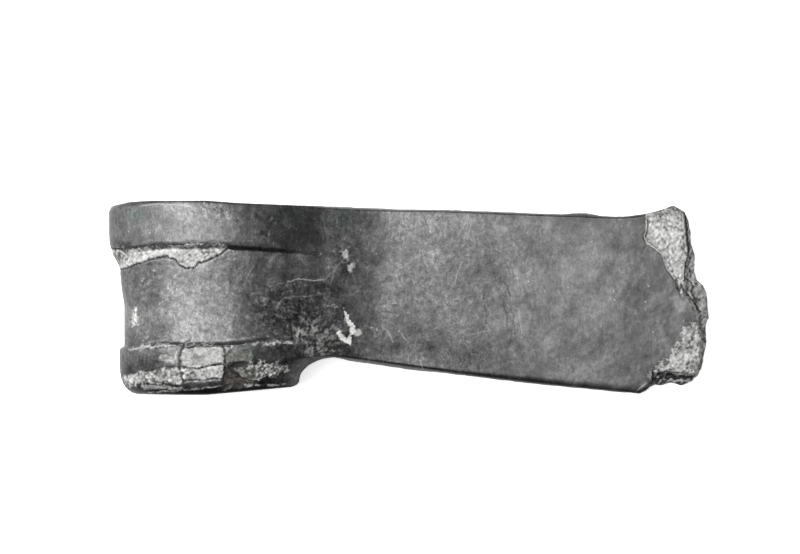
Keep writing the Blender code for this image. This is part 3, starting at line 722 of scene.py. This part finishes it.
# Measures on the ends and narrow sides: cloudy skin, darker below as painted shade, with a few patches of
# crust from noise, and the given pale measure.
def endMeasures(points, side, pale):
    measures = plainArrays(points.shape[:-1])
    tint = 0.22 * softNoise(points, 6.0, 87) + 0.10 * softNoise(points, 2.0, 88)
    # painted shade: the lower end and lower narrow side are darker
    measures["tint"] = tint - (0.32 if side < 0.0 else 0.0)
    measures["crust"] = 2.2 * softNoise(points, 5.0, 85) + 0.9 * softNoise(points, 1.4, 86) - 1.7
    measures["pale"] = pale + 0.6 * softNoise(points, 2.4, 89)
    return measures


# Quads between every two neighbours of a chain of index rows.
def bands(chain):
    return np.concatenate([
        np.stack([low[:-1], low[1:], high[1:], high[:-1]], axis=-1) for low, high in zip(chain, chain[1:])
    ])


# Triangles between two index rows, where the lower one has an odd point between every two.
def fanBand(low, odd, high):
    return np.concatenate([
        np.stack([low[:-1], odd, high[:-1]], axis=-1),
        np.stack([odd, low[1:], high[1:]], axis=-1),
        np.stack([odd, high[1:], high[:-1]], axis=-1),
    ])


# Oval wall of the hole at height share t from the lower end, at the given angles.
def holeRing(angle, t):
    inward = socket["holeDraft"] * t
    long, wide = socket["holeLength"] / 2 - inward, socket["holeThickness"] / 2 - inward
    return long * np.cos(angle), wide * np.sin(angle)


# The whole axe as one closed skin: rings of rows round both cheeks and the broken face, ends made of a ring
# round the hole and a strip along the narrow side, and the hole's wall between them. Cheeks are moved along
# their normals by their relief; a ring, strip or wall is a straight blend between its two edges, plus noise.
def axeSkin():
    vertices, measures, quads, triangles = [], [], [], []

    # keeps a grid of points and its measures, and gives the points' numbers in the same rows
    def keep(points, own):
        start = sum(len(part) for part in vertices)
        vertices.append(points.reshape(-1, 3))
        measures.append(own)
        return start + np.arange(points.size // 3).reshape(points.shape[:-1])

    near = cheekSurface()
    rows, count = near.shape[:2]
    if count % 2 == 0:
        near = np.delete(near, -3, axis=1)
        count -= 1
    far = near[:, ::2] * np.array([1.0, 1.0, -1.0])
    nearNormal, farNormal = gridNormals(near, 1.0), gridNormals(far, -1.0)
    nearLift, nearMeasures = nearRelief(near)
    farLift, farMeasures = farRelief(far)
    # the colour paints highlight on these ridges and shade in the hollows between them
    nearMeasures["ridge"], farMeasures["ridge"] = ridgeHeight(nearLift), ridgeHeight(farLift)
    farLift = np.minimum(farLift, -0.03)
    for normal, own in ((nearNormal, nearMeasures), (farNormal, farMeasures)):
        own["tint"] = own["tint"] - 0.35 * ease((-normal[..., 1] - 0.15) / 0.5)  # painted shade: darker where the surface faces down
    # the two reliefs meet at the back, and die away at the ends
    seam = ease(np.arange(count) / 16.0)
    farSeam = ease(np.arange(far.shape[1]) / 8.0)
    nearLift = nearLift * seam + 0.5 * (nearLift[:, :1] + farLift[:, :1]) * (1.0 - seam)
    farLift = farLift * farSeam + 0.5 * (nearLift[:, :1] + farLift[:, :1]) * (1.0 - farSeam)
    fromEnd = np.minimum(np.arange(rows), np.arange(rows)[::-1])[:, None]
    calm = ease((fromEnd + 1) / 4.0)
    near = near + nearNormal * (nearLift * calm)[..., None]
    far = far + farNormal * (farLift * calm)[..., None]
    far[:, 0] = near[:, 0]
    near[..., 2] = np.maximum(near[..., 2], -0.55 * np.abs(far[:, -1:, 2]))

    # the broken face, across from the near cheek to the far one, bulging and faceted
    steps = grid["sideColumns"]
    t = np.linspace(0.0, 1.0, steps + 2)[1:-1][None, :, None]
    face = near[:, -1:] * (1.0 - t) + far[:, -1:] * t
    block = cellNoise(face, 1.6, 71)[3]
    bulge = np.sin(math.pi * t[..., 0]) * (0.16 + 0.22 * block)
    face[..., 0] = face[..., 0] + np.clip(bulge, -0.25, 0.3)
    faceMeasures = dict(plainArrays((rows, steps)), broken=np.full((rows, steps), 1.5))
    ring = np.concatenate([near, face, far[:, :0:-1]], axis=1)
    index = keep(ring, {
        name: np.concatenate([nearMeasures[name], faceMeasures[name], farMeasures[name][:, :0:-1]], axis=1)
        for name in plainMeasures
    })
    quads.append(bands(np.concatenate([index, index[:, :1]], axis=1)))

    # ends
    last = far.shape[1] - 1
    stop = int(np.argmin(np.abs(near[rows // 2, ::2, 0] - grid["annulusReach"])))
    evens = np.arange(0, count, 2)
    columns = np.arange(stop, last + 1)
    holeLoops = []
    for row, side in ((rows - 1, 1), (0, -1)):
        nearEdge = index[row, evens]
        farEdge = np.concatenate([index[row, :1], index[row, ::-1][:last]])
        outline = topLine if side > 0 else bottomEnd
        s = np.linspace(0.0, 1.0, steps + 2)[1:-1][:, None, None]
        strip = ring[row, evens[columns]][None] * (1.0 - s) + vertices[0][farEdge[columns]][None] * s
        rough = 0.10 * softNoise(strip, 1.6, 81) + 0.05 * softNoise(strip, 0.7, 82)
        swell = along(blade["upperSwell" if side > 0 else "lowerSwell"], strip[..., 0])
        crown = (0.12 + swell) * np.sin(math.pi * s[..., 0]) ** 0.5 * ease((columns - stop) / 10.0)
        strip[..., 1] = strip[..., 1] + side * (crown + rough * np.sin(math.pi * s[..., 0]) - 0.12)
        strip = strip[:, :-1]
        # painted highlight: pale where the side swells, on its nearer half, where its rounded edge catches
        # the light
        pale = 4.0 * (swell[:, :-1] - 0.30) - 4.0 * ease((s[..., 0] - 0.35) / 0.4)
        stripIndex = keep(strip, endMeasures(strip, side, pale))
        stripIndex = np.concatenate([stripIndex, index[row, count : count + steps][:, None]], axis=1)
        # the near cheek has two columns for each one here, so the first band is made of triangles
        odd = index[row, evens[columns[:-1]] + 1]
        triangles.append(fanBand(nearEdge[columns], odd, stripIndex[0])[:, ::side])
        quads.append(bands([*stripIndex, farEdge[columns]])[:, ::side])

        # ring round the hole: round the near edge, across in front of the hole, back along the far edge
        loop = np.concatenate([nearEdge[: stop + 1], stripIndex[:, 0], farEdge[stop:0:-1]])
        outer = np.concatenate(vertices)[loop]
        half = (socket["waistThickness"] / 2, socket["waistLength"] / 2)
        angle = np.arctan2(outer[:, 2] / half[0], outer[:, 0] / half[1])
        holeX, holeZ = holeRing(angle, 1.0 if side > 0 else 0.0)
        inner = np.stack([holeX, outline(holeX) - 0.35 * side, holeZ], axis=-1)
        k = np.linspace(0.0, 1.0, grid["endRings"] + 1)[1:][:, None, None]
        rings = outer[None] * (1.0 - k) + inner[None] * k
        rough = 0.12 * softNoise(rings, 2.4, 83) + 0.06 * softNoise(rings, 0.9, 84) - 0.16
        level = outline(rings[..., 0]) - outer[None, :, 1]
        lip = 0.35 * ease((k[..., 0] - 0.8) / 0.2)
        height = outer[None, :, 1] + level * ease(k[..., 0] * 2.0)
        rings[..., 1] = height + side * (rough * ease(k[..., 0] * 3.0) - lip)
        ringIndex = keep(rings, endMeasures(rings, side, -2.0))
        ringLoop = np.concatenate([ringIndex, ringIndex[:, :1]], axis=1)
        odd = index[row, evens[:stop] + 1]
        triangles.append(fanBand(nearEdge[: stop + 1], odd, ringLoop[0, : stop + 1])[:, ::side])
        quads.append(bands([np.append(loop, loop[0])[stop:], ringLoop[0, stop:]])[:, ::side])
        quads.append(bands(ringLoop)[:, ::side])
        holeLoops.append((ringIndex[-1], angle))

    # the hole's wall, from the lower ring to the upper one
    (topLoop, topAngle), (bottomLoop, bottomAngle) = holeLoops
    everything = np.concatenate(vertices)
    t = np.linspace(0.0, 1.0, grid["holeRows"] + 2)[1:-1][:, None]
    wallX, wallZ = holeRing(bottomAngle + (topAngle - bottomAngle) * t, t)
    wallY = everything[bottomLoop, 1] + (everything[topLoop, 1] - everything[bottomLoop, 1]) * t
    wall = np.stack([wallX, wallY, wallZ], axis=-1)
    inward = 0.25 * softNoise(wall, 5.0, 91) + 0.12 * softNoise(wall, 1.8, 92)
    inward = inward + 0.06 * softNoise(wall, 0.9, 93)
    scale = 1.0 - (0.2 + inward) * np.sin(math.pi * t) ** 0.5 / 12.0
    wall[..., 0], wall[..., 2] = wall[..., 0] * scale, wall[..., 2] * scale
    wallIndex = keep(wall, plainArrays(wall.shape[:-1]))
    chain = [np.append(numbers, numbers[0]) for numbers in (bottomLoop, *wallIndex, topLoop)]
    quads.append(bands(chain)[:, ::-1])
    merged = {name: np.concatenate([own[name].ravel() for own in measures]) for name in plainMeasures}
    return np.concatenate(vertices), np.concatenate(quads), np.concatenate(triangles), merged


# The turn and place that lay the axe down, read from the record's two rim mounts: y runs along the upper
# rim's axis, x from the upper rim to the lower one but square to y, z square to both.
def layingDown(mounts):
    found = {mount["name"]: mount for mount in mounts}
    upper, lower = Vector(found["upper_rim"]["pos_m"]), Vector(found["lower_rim"]["pos_m"])
    up = Vector(found["upper_rim"]["axis"]).normalized()
    reach = lower - upper
    ahead = (reach - up * reach.dot(up)).normalized()
    out = ahead.cross(up).normalized()
    turn = Matrix((ahead, up, out)).transposed()
    rim = Vector((-19.0, socket["top"], 0.0)) * mm  # where the upper mount is in the axe's own frame
    return turn, upper - turn @ rim


turn, origin = layingDown(frame["record"]["mounts"])
print("axe laid down at", [round(v, 5) for v in origin])


def makeAxe():
    points, quads, triangles, measures = axeSkin()
    placed = points * mm @ np.array(turn).T + np.array(origin)
    placed[:, 2] = np.maximum(placed[:, 2], 0.02 * mm)  # worn flat where it rests
    data = bpy.data.meshes.new("bronzeAxeHead")
    loops = np.concatenate([quads.ravel(), triangles.ravel()])
    starts = np.concatenate([np.arange(len(quads)) * 4, quads.size + np.arange(len(triangles)) * 3])
    sizes = np.concatenate([np.full(len(quads), 4), np.full(len(triangles), 3)])
    data.vertices.add(len(placed))
    data.vertices.foreach_set("co", placed.astype(np.float32).ravel())
    data.loops.add(len(loops))
    data.loops.foreach_set("vertex_index", loops.astype(np.int32))
    data.polygons.add(len(starts))
    data.polygons.foreach_set("loop_start", starts.astype(np.int32))
    data.polygons.foreach_set("loop_total", sizes.astype(np.int32))
    data.update(calc_edges=True)
    for name, values in measures.items():
        layer = data.attributes.new(name, "FLOAT", "POINT")
        layer.data.foreach_set("value", values.astype(np.float32))
    data.validate()
    data.shade_smooth()
    data.set_sharp_from_angle(angle=math.radians(58))
    axe = bpy.data.objects.new("bronzeAxeHead", data)
    bpy.context.collection.objects.link(axe)
    print("axe skin:", len(placed), "points,", 2 * len(quads) + len(triangles), "triangles")
    return axe


axe = makeAxe()


# One sRGB hex colour as linear red, green, blue and alpha.
def hexColour(code):
    parts = [int(code[i : i + 2], 16) / 255.0 for i in (1, 3, 5)]
    return [c / 12.92 if c <= 0.04045 else ((c + 0.055) / 1.055) ** 2.4 for c in parts] + [1.0]


# Adds a shader node with its settings; an input that is given a socket is linked to it, any other is set.
def addNode(tree, kind, inputs=None, **settings):
    node = tree.nodes.new("ShaderNode" + kind)
    for name, value in settings.items():
        setattr(node, name, value)
    for name, value in (inputs or {}).items():
        if isinstance(value, bpy.types.NodeSocket):
            tree.links.new(value, node.inputs[name])
        else:
            node.inputs[name].default_value = value
    return node


patina = {
    "tones": ["#1d1d1d", "#3a3a3a", "#565656", "#757575", "#9b9b9b"],  # from the darkest to the palest skin
    # noises that mottle the skin: size in mm, how far it moves the tone, and its detail
    "mottles": {"cloud": (15.0, 0.45, 2.0), "mottle": (4.5, 0.60, 4.0), "spot": (1.3, 0.52, 3.0),
                "grain": (0.6, 0.36, 1.0), "dust": (0.32, 0.16, 0.0)},
    "strokeWidth": 0.6,  # mm; real scratches are finer; drawn as coarse as the render shows
    "strokeLength": 4.0,
    "strokeLean": 16.0,  # degrees from the hole's direction towards the edge
    "strokeAmount": 0.40,
    "strokeBend": (9.0, 7.0),  # the noise that bends the strokes: its size and its reach, mm
    "webSizes": (2.4, 1.5),  # meshes of the pale and the dark fine scratches, mm
    "webBend": (2.0, 2.4),
    "webStretch": 0.5,
    "webWidth": 0.035,  # as a share of the mesh
    "webAmount": 0.12,
    "fleckSpacing": 1.9,  # mm
    "fleckSize": 0.15,  # radius of the largest flecks as a share of their spacing
    "fleckAmount": 0.3,
    "speckAmount": 0.42,
    "ridgeAmount": 0.7,  # how much paler each mm of relief makes the colour: painted highlight on ridges, painted shade in hollows
    "verdigris": "#ecfffa",  # what the faint green traces multiply the colour by
    "metallic": 0.85,
    "skinRoughness": (0.36, 0.50),
    "crustRoughness": 0.78,
    "bump": (0.22, 0.06),  # strength, and height in mm
    # what carries a layer from its dark to its pale colour: how much of each noise or measure is in it, and
    # the sums that give the dark and the pale colour
    "carriers": {
        # the relief carrier paints highlight on ridges and shade in hollows
        "ridge": ({"ridge": 1.0, "mottle": 0.5, "spot": 0.6, "grain": 0.3, "tint": 0.35}, 0.50, 0.90),
        "mottle": ({"mottle": 1.0, "spot": 1.0, "grain": 0.6, "tint": 0.5}, 1.02, 1.56),
        "speck": ({"tint": 1.0, "spot": 2.2, "grain": 0.5}, 1.18, 2.06),
    },
    # what shows where the skin is lost or covered: the mesh's measure, dark and pale colour, what carries it
    # from one to the other, the width of its edge in mm, and how mineral rather than metallic it looks
    "layers": [
        ("scab", "#1a1a1a", "#a6a6a4", "speck", 1.3, 0.6),
        # the pale layer shows pale films and dust, and also painted highlights on the lower collar's step and
        # where the narrow sides swell
        ("pale", "#686867", "#b4b4b2", "mottle", 0.25, 0.9),
        ("crust", "#424241", "#c8c8c6", "ridge", 0.15, 1.0),
        ("bare", "#2e2f2a", "#7f7f78", "ridge", 0.5, 1.0),
        ("broken", "#393938", "#9a9a98", "ridge", 0.25, 0.8),
        ("rock", "#0f0f0f", "#8f8f8e", "ridge", 0.25, 1.0),
        ("cavity", "#131110", "#4c4541", "ridge", 0.4, 1.0),
        ("chalk", "#9b9b99", "#d9d9d6", "mottle", 0.2, 1.0),
    ],
    "hairWidth": 0.16,  # mm from its middle line to its edge, coarser than a real one so that it shows
    "hairColours": (("#b9b9b8", 1.0), ("#101010", -1.0)),  # of the lines whose tone is above and below 0
    # lines of the mesh: colour, strength, and the least share of it where a line thins out; the crack colour
    # also paints the shadow line along the upper collar's step
    "lines": [("scratch", "#aaaaa9", 0.65, 0.1), ("crack", "#101010", 0.95, 0.6)],
}


# Patinated cast bronze: a dull grey mineral film over metal, which still shines softly. It is mottled at
# several sizes and lightly scratched. Where it has flaked, pale crystals with dark gaps, chalk or the dark
# brown and olive core show; the crystals' pale tops and dark gaps are painted highlight and painted shade
# from the relief, and the colour also holds painted shade underneath and painted highlights on some edges.
def makePatina():
    material = bpy.data.materials.new("patinatedCastBronze")
    material.use_nodes = True
    tree = material.node_tree
    tree.nodes.clear()
    output = addNode(tree, "OutputMaterial")
    place = addNode(tree, "TexCoord").outputs["Object"]
    inMm = addNode(tree, "Mapping", {"Vector": place, "Scale": (1 / mm, 1 / mm, 1 / mm)}).outputs[0]
    held = {
        name: addNode(tree, "Attribute", attribute_name=name).outputs["Fac"] for name in plainMeasures
    }
    grit = held["grit"]

    # tone of the skin: half plus the held tone and painted shade, plus every noise's distance from half times
    # its amount, the finer ones scaled by the grit
    tone = addNode(tree, "Math", {0: held["tint"], 1: 0.5}, operation="ADD").outputs[0]
    source = dict(held)
    for name, (size, amount, detail) in patina["mottles"].items():
        noise = {"Vector": inMm, "Scale": 1 / size, "Detail": detail, "Roughness": 0.6}
        source[name] = addNode(tree, "TexNoise", noise).outputs[0]
        off = addNode(tree, "Math", {0: source[name], 1: 0.5}, operation="SUBTRACT").outputs[0]
        if size < 4.0:
            off = addNode(tree, "Math", {0: off, 1: grit}, operation="MULTIPLY").outputs[0]
        tone = addNode(tree, "Math", {0: off, 1: amount, 2: tone}, operation="MULTIPLY_ADD").outputs[0]
    cloud, mottle, spot, grain = (source[name] for name in ("cloud", "mottle", "spot", "grain"))

    # strokes: noise stretched along a lean, at points bent by broad noise, stronger on the paler clouds
    bent = inMm
    bends = []
    for (size, reach), detail in ((patina["strokeBend"], 1.0), (patina["webBend"], 2.0)):
        drift = addNode(tree, "TexNoise", {"Vector": inMm, "Scale": 1 / size, "Detail": detail})
        bent = addNode(tree, "VectorMath", {0: drift.outputs["Color"], 1: (reach, reach, reach), 2: bent},
                       operation="MULTIPLY_ADD").outputs[0]
        bends.append(bent)
    lean = (0.0, 0.0, math.radians(patina["strokeLean"]))
    narrow = 1 / patina["strokeWidth"]
    leaned = addNode(tree, "Mapping", {
        "Vector": bends[0], "Rotation": lean, "Scale": (narrow, 1 / patina["strokeLength"], narrow),
    }).outputs[0]
    strokes = addNode(tree, "TexNoise", {"Vector": leaned, "Scale": 1.0, "Detail": 1.0}).outputs[0]
    worn = addNode(tree, "MapRange", {0: cloud, 1: 0.42, 2: 0.62, 3: 0.15, 4: 1.0}).outputs[0]
    off = addNode(tree, "Math", {0: strokes, 1: 0.5}, operation="SUBTRACT").outputs[0]
    for share in (grit, worn):
        off = addNode(tree, "Math", {0: off, 1: share}, operation="MULTIPLY").outputs[0]
    tone = addNode(tree, "Math", {0: off, 1: patina["strokeAmount"], 2: tone},
                   operation="MULTIPLY_ADD").outputs[0]

    # webs of fine scratches along the borders of stretched cells, pale ones and dark ones
    stretched = addNode(tree, "Mapping", {
        "Vector": bends[1], "Scale": (1.0, patina["webStretch"], 1.0), "Rotation": lean,
    }).outputs[0]
    part = addNode(tree, "MapRange", {0: mottle, 1: 0.46, 2: 0.58}).outputs[0]
    part = addNode(tree, "Math", {0: part, 1: grit}, operation="MULTIPLY").outputs[0]
    width = patina["webWidth"]
    for size, amount in zip(patina["webSizes"], (patina["webAmount"], -patina["webAmount"])):
        web = addNode(tree, "TexVoronoi", {"Vector": stretched, "Scale": 1 / size},
                      feature="DISTANCE_TO_EDGE").outputs["Distance"]
        line = addNode(tree, "MapRange", {0: web, 1: 2.0 * width, 2: 0.5 * width, 4: amount}).outputs[0]
        tone = addNode(tree, "Math", {0: line, 1: part, 2: tone}, operation="MULTIPLY_ADD").outputs[0]

    # small pale flecks: the nearest point of some cells, chosen at random, is a round spot
    flecks = addNode(tree, "TexVoronoi", {"Vector": inMm, "Scale": 1 / patina["fleckSpacing"]})
    rare = addNode(tree, "SeparateColor", {0: flecks.outputs["Color"]}).outputs[0]
    size = addNode(tree, "MapRange", {0: rare, 1: 0.6, 2: 1.0, 3: 0.0, 4: patina["fleckSize"]}).outputs[0]
    near = addNode(tree, "Math", {0: size, 1: flecks.outputs["Distance"]}, operation="SUBTRACT")
    fleck = addNode(tree, "MapRange", {0: near.outputs[0], 1: -0.03, 2: 0.03, 4: patina["fleckAmount"]})
    tone = addNode(tree, "Math", {0: tone, 1: fleck.outputs[0]}, operation="ADD").outputs[0]

    # pale specks sit on the peaks of two of the finer noises together, where the ground is speckled
    peaks = addNode(tree, "Math", {0: spot, 1: 1.6, 2: grain}, operation="MULTIPLY_ADD").outputs[0]
    crystal = addNode(tree, "MapRange", {0: peaks, 1: 1.46, 2: 1.80, 4: 0.7}).outputs[0]
    sown = addNode(tree, "MapRange",
                   {0: held["speckled"], 1: -2.0, 2: 3.0, 4: patina["speckAmount"]}).outputs[0]
    overPeaks = addNode(tree, "Math", {0: peaks, 1: 1.40}, operation="SUBTRACT").outputs[0]
    overMottle = addNode(tree, "Math", {0: mottle, 1: 0.5}, operation="SUBTRACT").outputs[0]
    # the last of these paints highlight on ridges and shade in hollows of the relief
    added = ((crystal, sown), (overPeaks, sown), (overMottle, sown), (held["ridge"], patina["ridgeAmount"]))
    for value, amount in added:
        tone = addNode(tree, "Math", {0: value, 1: amount, 2: tone}, operation="MULTIPLY_ADD").outputs[0]
    ramp = addNode(tree, "ValToRGB", {0: tone})
    stops = ramp.color_ramp.elements
    stops[0].color, stops[1].color = hexColour(patina["tones"][0]), hexColour(patina["tones"][-1])
    for number, code in enumerate(patina["tones"][1:-1], 1):
        stops.new(number / (len(patina["tones"]) - 1)).color = hexColour(code)
    colour = ramp.outputs[0]

    # layers over the skin, each inside its own patch, whose edge is frayed by one of the finer noises
    fray = addNode(tree, "Math", {0: grain, 1: 0.9, 2: -0.45}, operation="MULTIPLY_ADD").outputs[0]
    carried = {}
    for name, (shares, low, high) in patina["carriers"].items():
        total = 0.0
        for part, share in shares.items():
            total = addNode(tree, "Math", {0: source[part], 1: share, 2: total},
                            operation="MULTIPLY_ADD").outputs[0]
        carried[name] = addNode(tree, "MapRange", {0: total, 1: low, 2: high}).outputs[0]
    mineral = 0.0
    for name, dark, light, carrier, edge, dull in patina["layers"]:
        moved = addNode(tree, "Math", {0: held[name], 1: fray}, operation="ADD").outputs[0]
        mask = addNode(tree, "MapRange", {0: moved, 1: -edge, 2: edge}).outputs[0]
        own = addNode(tree, "Mix", {0: carried[carrier], 6: hexColour(dark), 7: hexColour(light)},
                      data_type="RGBA").outputs[2]
        colour = addNode(tree, "Mix", {0: mask, 6: colour, 7: own}, data_type="RGBA").outputs[2]
        part = addNode(tree, "Math", {0: mask, 1: dull}, operation="MULTIPLY").outputs[0]
        mineral = addNode(tree, "Math", {0: part, 1: mineral}, operation="MAXIMUM").outputs[0]

    # lines over the layers: hairlines by their distance, then scratches and cracks by their own widths, the
    # cracks including painted shadow along the upper collar's step
    over = []
    line = addNode(tree, "Math", {0: held["hairAcross"]}, operation="ABSOLUTE").outputs[0]
    line = addNode(tree, "Math", {0: fray, 1: 0.5, 2: line}, operation="MULTIPLY_ADD").outputs[0]
    width = patina["hairWidth"]
    line = addNode(tree, "MapRange", {0: line, 1: 1.8 * width, 2: 0.2 * width}).outputs[0]
    line = addNode(tree, "Math", {0: line, 1: held["hairTone"]}, operation="MULTIPLY").outputs[0]
    for code, side in patina["hairColours"]:
        part = addNode(tree, "Math", {0: line, 1: side}, operation="MULTIPLY", use_clamp=True).outputs[0]
        over.append((code, part))
    for name, code, strength, least in patina["lines"]:
        moved = addNode(tree, "Math", {0: fray, 1: 2.2, 2: held[name]}, operation="MULTIPLY_ADD").outputs[0]
        mask = addNode(tree, "MapRange", {0: moved, 1: 1.2, 2: 0.4, 4: strength}).outputs[0]
        part = addNode(tree, "MapRange", {0: spot, 1: 0.40, 2: 0.56, 3: least}).outputs[0]
        part = addNode(tree, "Math", {0: mask, 1: part}, operation="MULTIPLY").outputs[0]
        over.append((code, part))
    for code, part in over:
        colour = addNode(tree, "Mix", {0: part, 6: colour, 7: hexColour(code)}, data_type="RGBA").outputs[2]
        mineral = addNode(tree, "Math", {0: mineral, 1: part}, operation="MAXIMUM").outputs[0]
    green = hexColour(patina["verdigris"])
    colour = addNode(tree, "Mix", {0: held["verdigris"], 6: colour, 7: green}, data_type="RGBA",
                     blend_type="MULTIPLY").outputs[2]

    strength, deep = patina["bump"]
    height = addNode(tree, "Math", {0: grain, 1: 0.6, 2: strokes}, operation="MULTIPLY_ADD").outputs[0]
    bump = addNode(tree, "Bump", {"Height": height, "Strength": strength, "Distance": deep * mm})
    smooth, dull = patina["skinRoughness"]
    shine = addNode(tree, "MapRange", {0: mottle, 1: 0.3, 2: 0.7, 3: smooth, 4: dull}).outputs[0]
    rough = addNode(tree, "Mix", {0: mineral, 2: shine, 3: patina["crustRoughness"]}).outputs[0]
    metal = addNode(tree, "MapRange", {0: mineral, 3: patina["metallic"], 4: 0.0}).outputs[0]
    shader = addNode(tree, "BsdfPrincipled", {
        "Base Color": colour, "Metallic": metal, "Roughness": rough, "Normal": bump.outputs[0],
    })
    tree.links.new(shader.outputs[0], output.inputs["Surface"])
    return material


axe.data.materials.append(makePatina())
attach(axe, "root")
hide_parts("axe_head")
print("patina made")

studio = {
    "floorSize": 4.0,  # m
    "floorColour": "#f4f4f4",
    "floorGlow": 0.7,  # seen by the camera alone, so that the floor stays white and doesn't light the axe
    "worldColour": "#ffffff",
    "worldStrength": 0.06,
    "worldSeen": 1.0,  # what the camera sees beyond the floor
    "aim": (40.0, 0.0, 0.0),  # mm in the axe's own frame
    # round soft boxes: direction to them in the axe's own frame, distance and size in m, power in W
    "softBoxes": {
        "softKey": {"from": (-0.31, 0.215, 0.927), "distance": 1.2, "size": 1.1, "power": 25.0},
        "sideFill": {"from": (-0.93, 0.15, 0.33), "distance": 1.2, "size": 0.9, "power": 7.0},
    },
}

camera = {
    "aim": (48.0, 5.0, 0.0),  # mm in the axe's own frame, the middle of the picture
    "viewWidth": 200.0,  # mm across the picture at the axe's middle plane
    "lens": 300.0,
    "sensor": 36.0,
}


# A place in mm of the axe's own frame as a point of the scene.
def ownPoint(place):
    return turn @ (Vector(place) * mm) + origin


def makeStudio():
    half = studio["floorSize"] / 2
    data = bpy.data.meshes.new("floor")
    corners = [(-half, -half, 0.0), (half, -half, 0.0), (half, half, 0.0), (-half, half, 0.0)]
    data.from_pydata(corners, [], [(0, 1, 2, 3)])
    floor = bpy.data.objects.new("floor", data)
    floor.location.z = -0.1 * mm  # just clear of the axe
    bpy.context.collection.objects.link(floor)
    paint = bpy.data.materials.new("mattWhiteBoard")
    paint.use_nodes = True
    shader = paint.node_tree.nodes["Principled BSDF"]
    shader.inputs["Base Color"].default_value = hexColour(studio["floorColour"])
    shader.inputs["Roughness"].default_value = 0.9
    shader.inputs["Specular IOR Level"].default_value = 0.0
    shader.inputs["Emission Color"].default_value = (1.0, 1.0, 1.0, 1.0)
    seen = addNode(paint.node_tree, "LightPath").outputs["Is Camera Ray"]
    glow = addNode(paint.node_tree, "Math", {0: seen, 1: studio["floorGlow"]}, operation="MULTIPLY")
    paint.node_tree.links.new(glow.outputs[0], shader.inputs["Emission Strength"])
    floor.data.materials.append(paint)
    world = bpy.data.worlds.new("paleRoom")
    world.use_nodes = True
    background = world.node_tree.nodes["Background"]
    background.inputs["Color"].default_value = hexColour(studio["worldColour"])
    seen = addNode(world.node_tree, "LightPath").outputs["Is Camera Ray"]
    strength = addNode(world.node_tree, "MapRange",
                       {0: seen, 3: studio["worldStrength"], 4: studio["worldSeen"]})
    world.node_tree.links.new(strength.outputs[0], background.inputs["Strength"])
    bpy.context.scene.world = world
    for name, box in studio["softBoxes"].items():
        light = bpy.data.lights.new(name, "AREA")
        light.shape = "DISK"
        light.size = box["size"]
        light.energy = box["power"]
        lamp = bpy.data.objects.new(name, light)
        toward = (turn @ Vector(box["from"])).normalized()
        lamp.location = ownPoint(studio["aim"]) + toward * box["distance"]
        lamp.rotation_euler = toward.to_track_quat("Z", "Y").to_euler()
        bpy.context.collection.objects.link(lamp)


def makeCamera():
    data = bpy.data.cameras.new("camera")
    data.sensor_width = camera["sensor"]
    data.lens = camera["lens"]
    seat = bpy.data.objects.new("camera", data)
    distance = camera["viewWidth"] * camera["lens"] / camera["sensor"]
    aim = Vector(camera["aim"])
    seat.location = ownPoint((aim.x, aim.y, aim.z + distance))
    seat.rotation_euler = turn.to_euler()
    bpy.context.collection.objects.link(seat)
    bpy.context.scene.camera = seat


makeStudio()
makeCamera()
bpy.context.scene.view_settings.view_transform = "Standard"
print("studio and camera made")
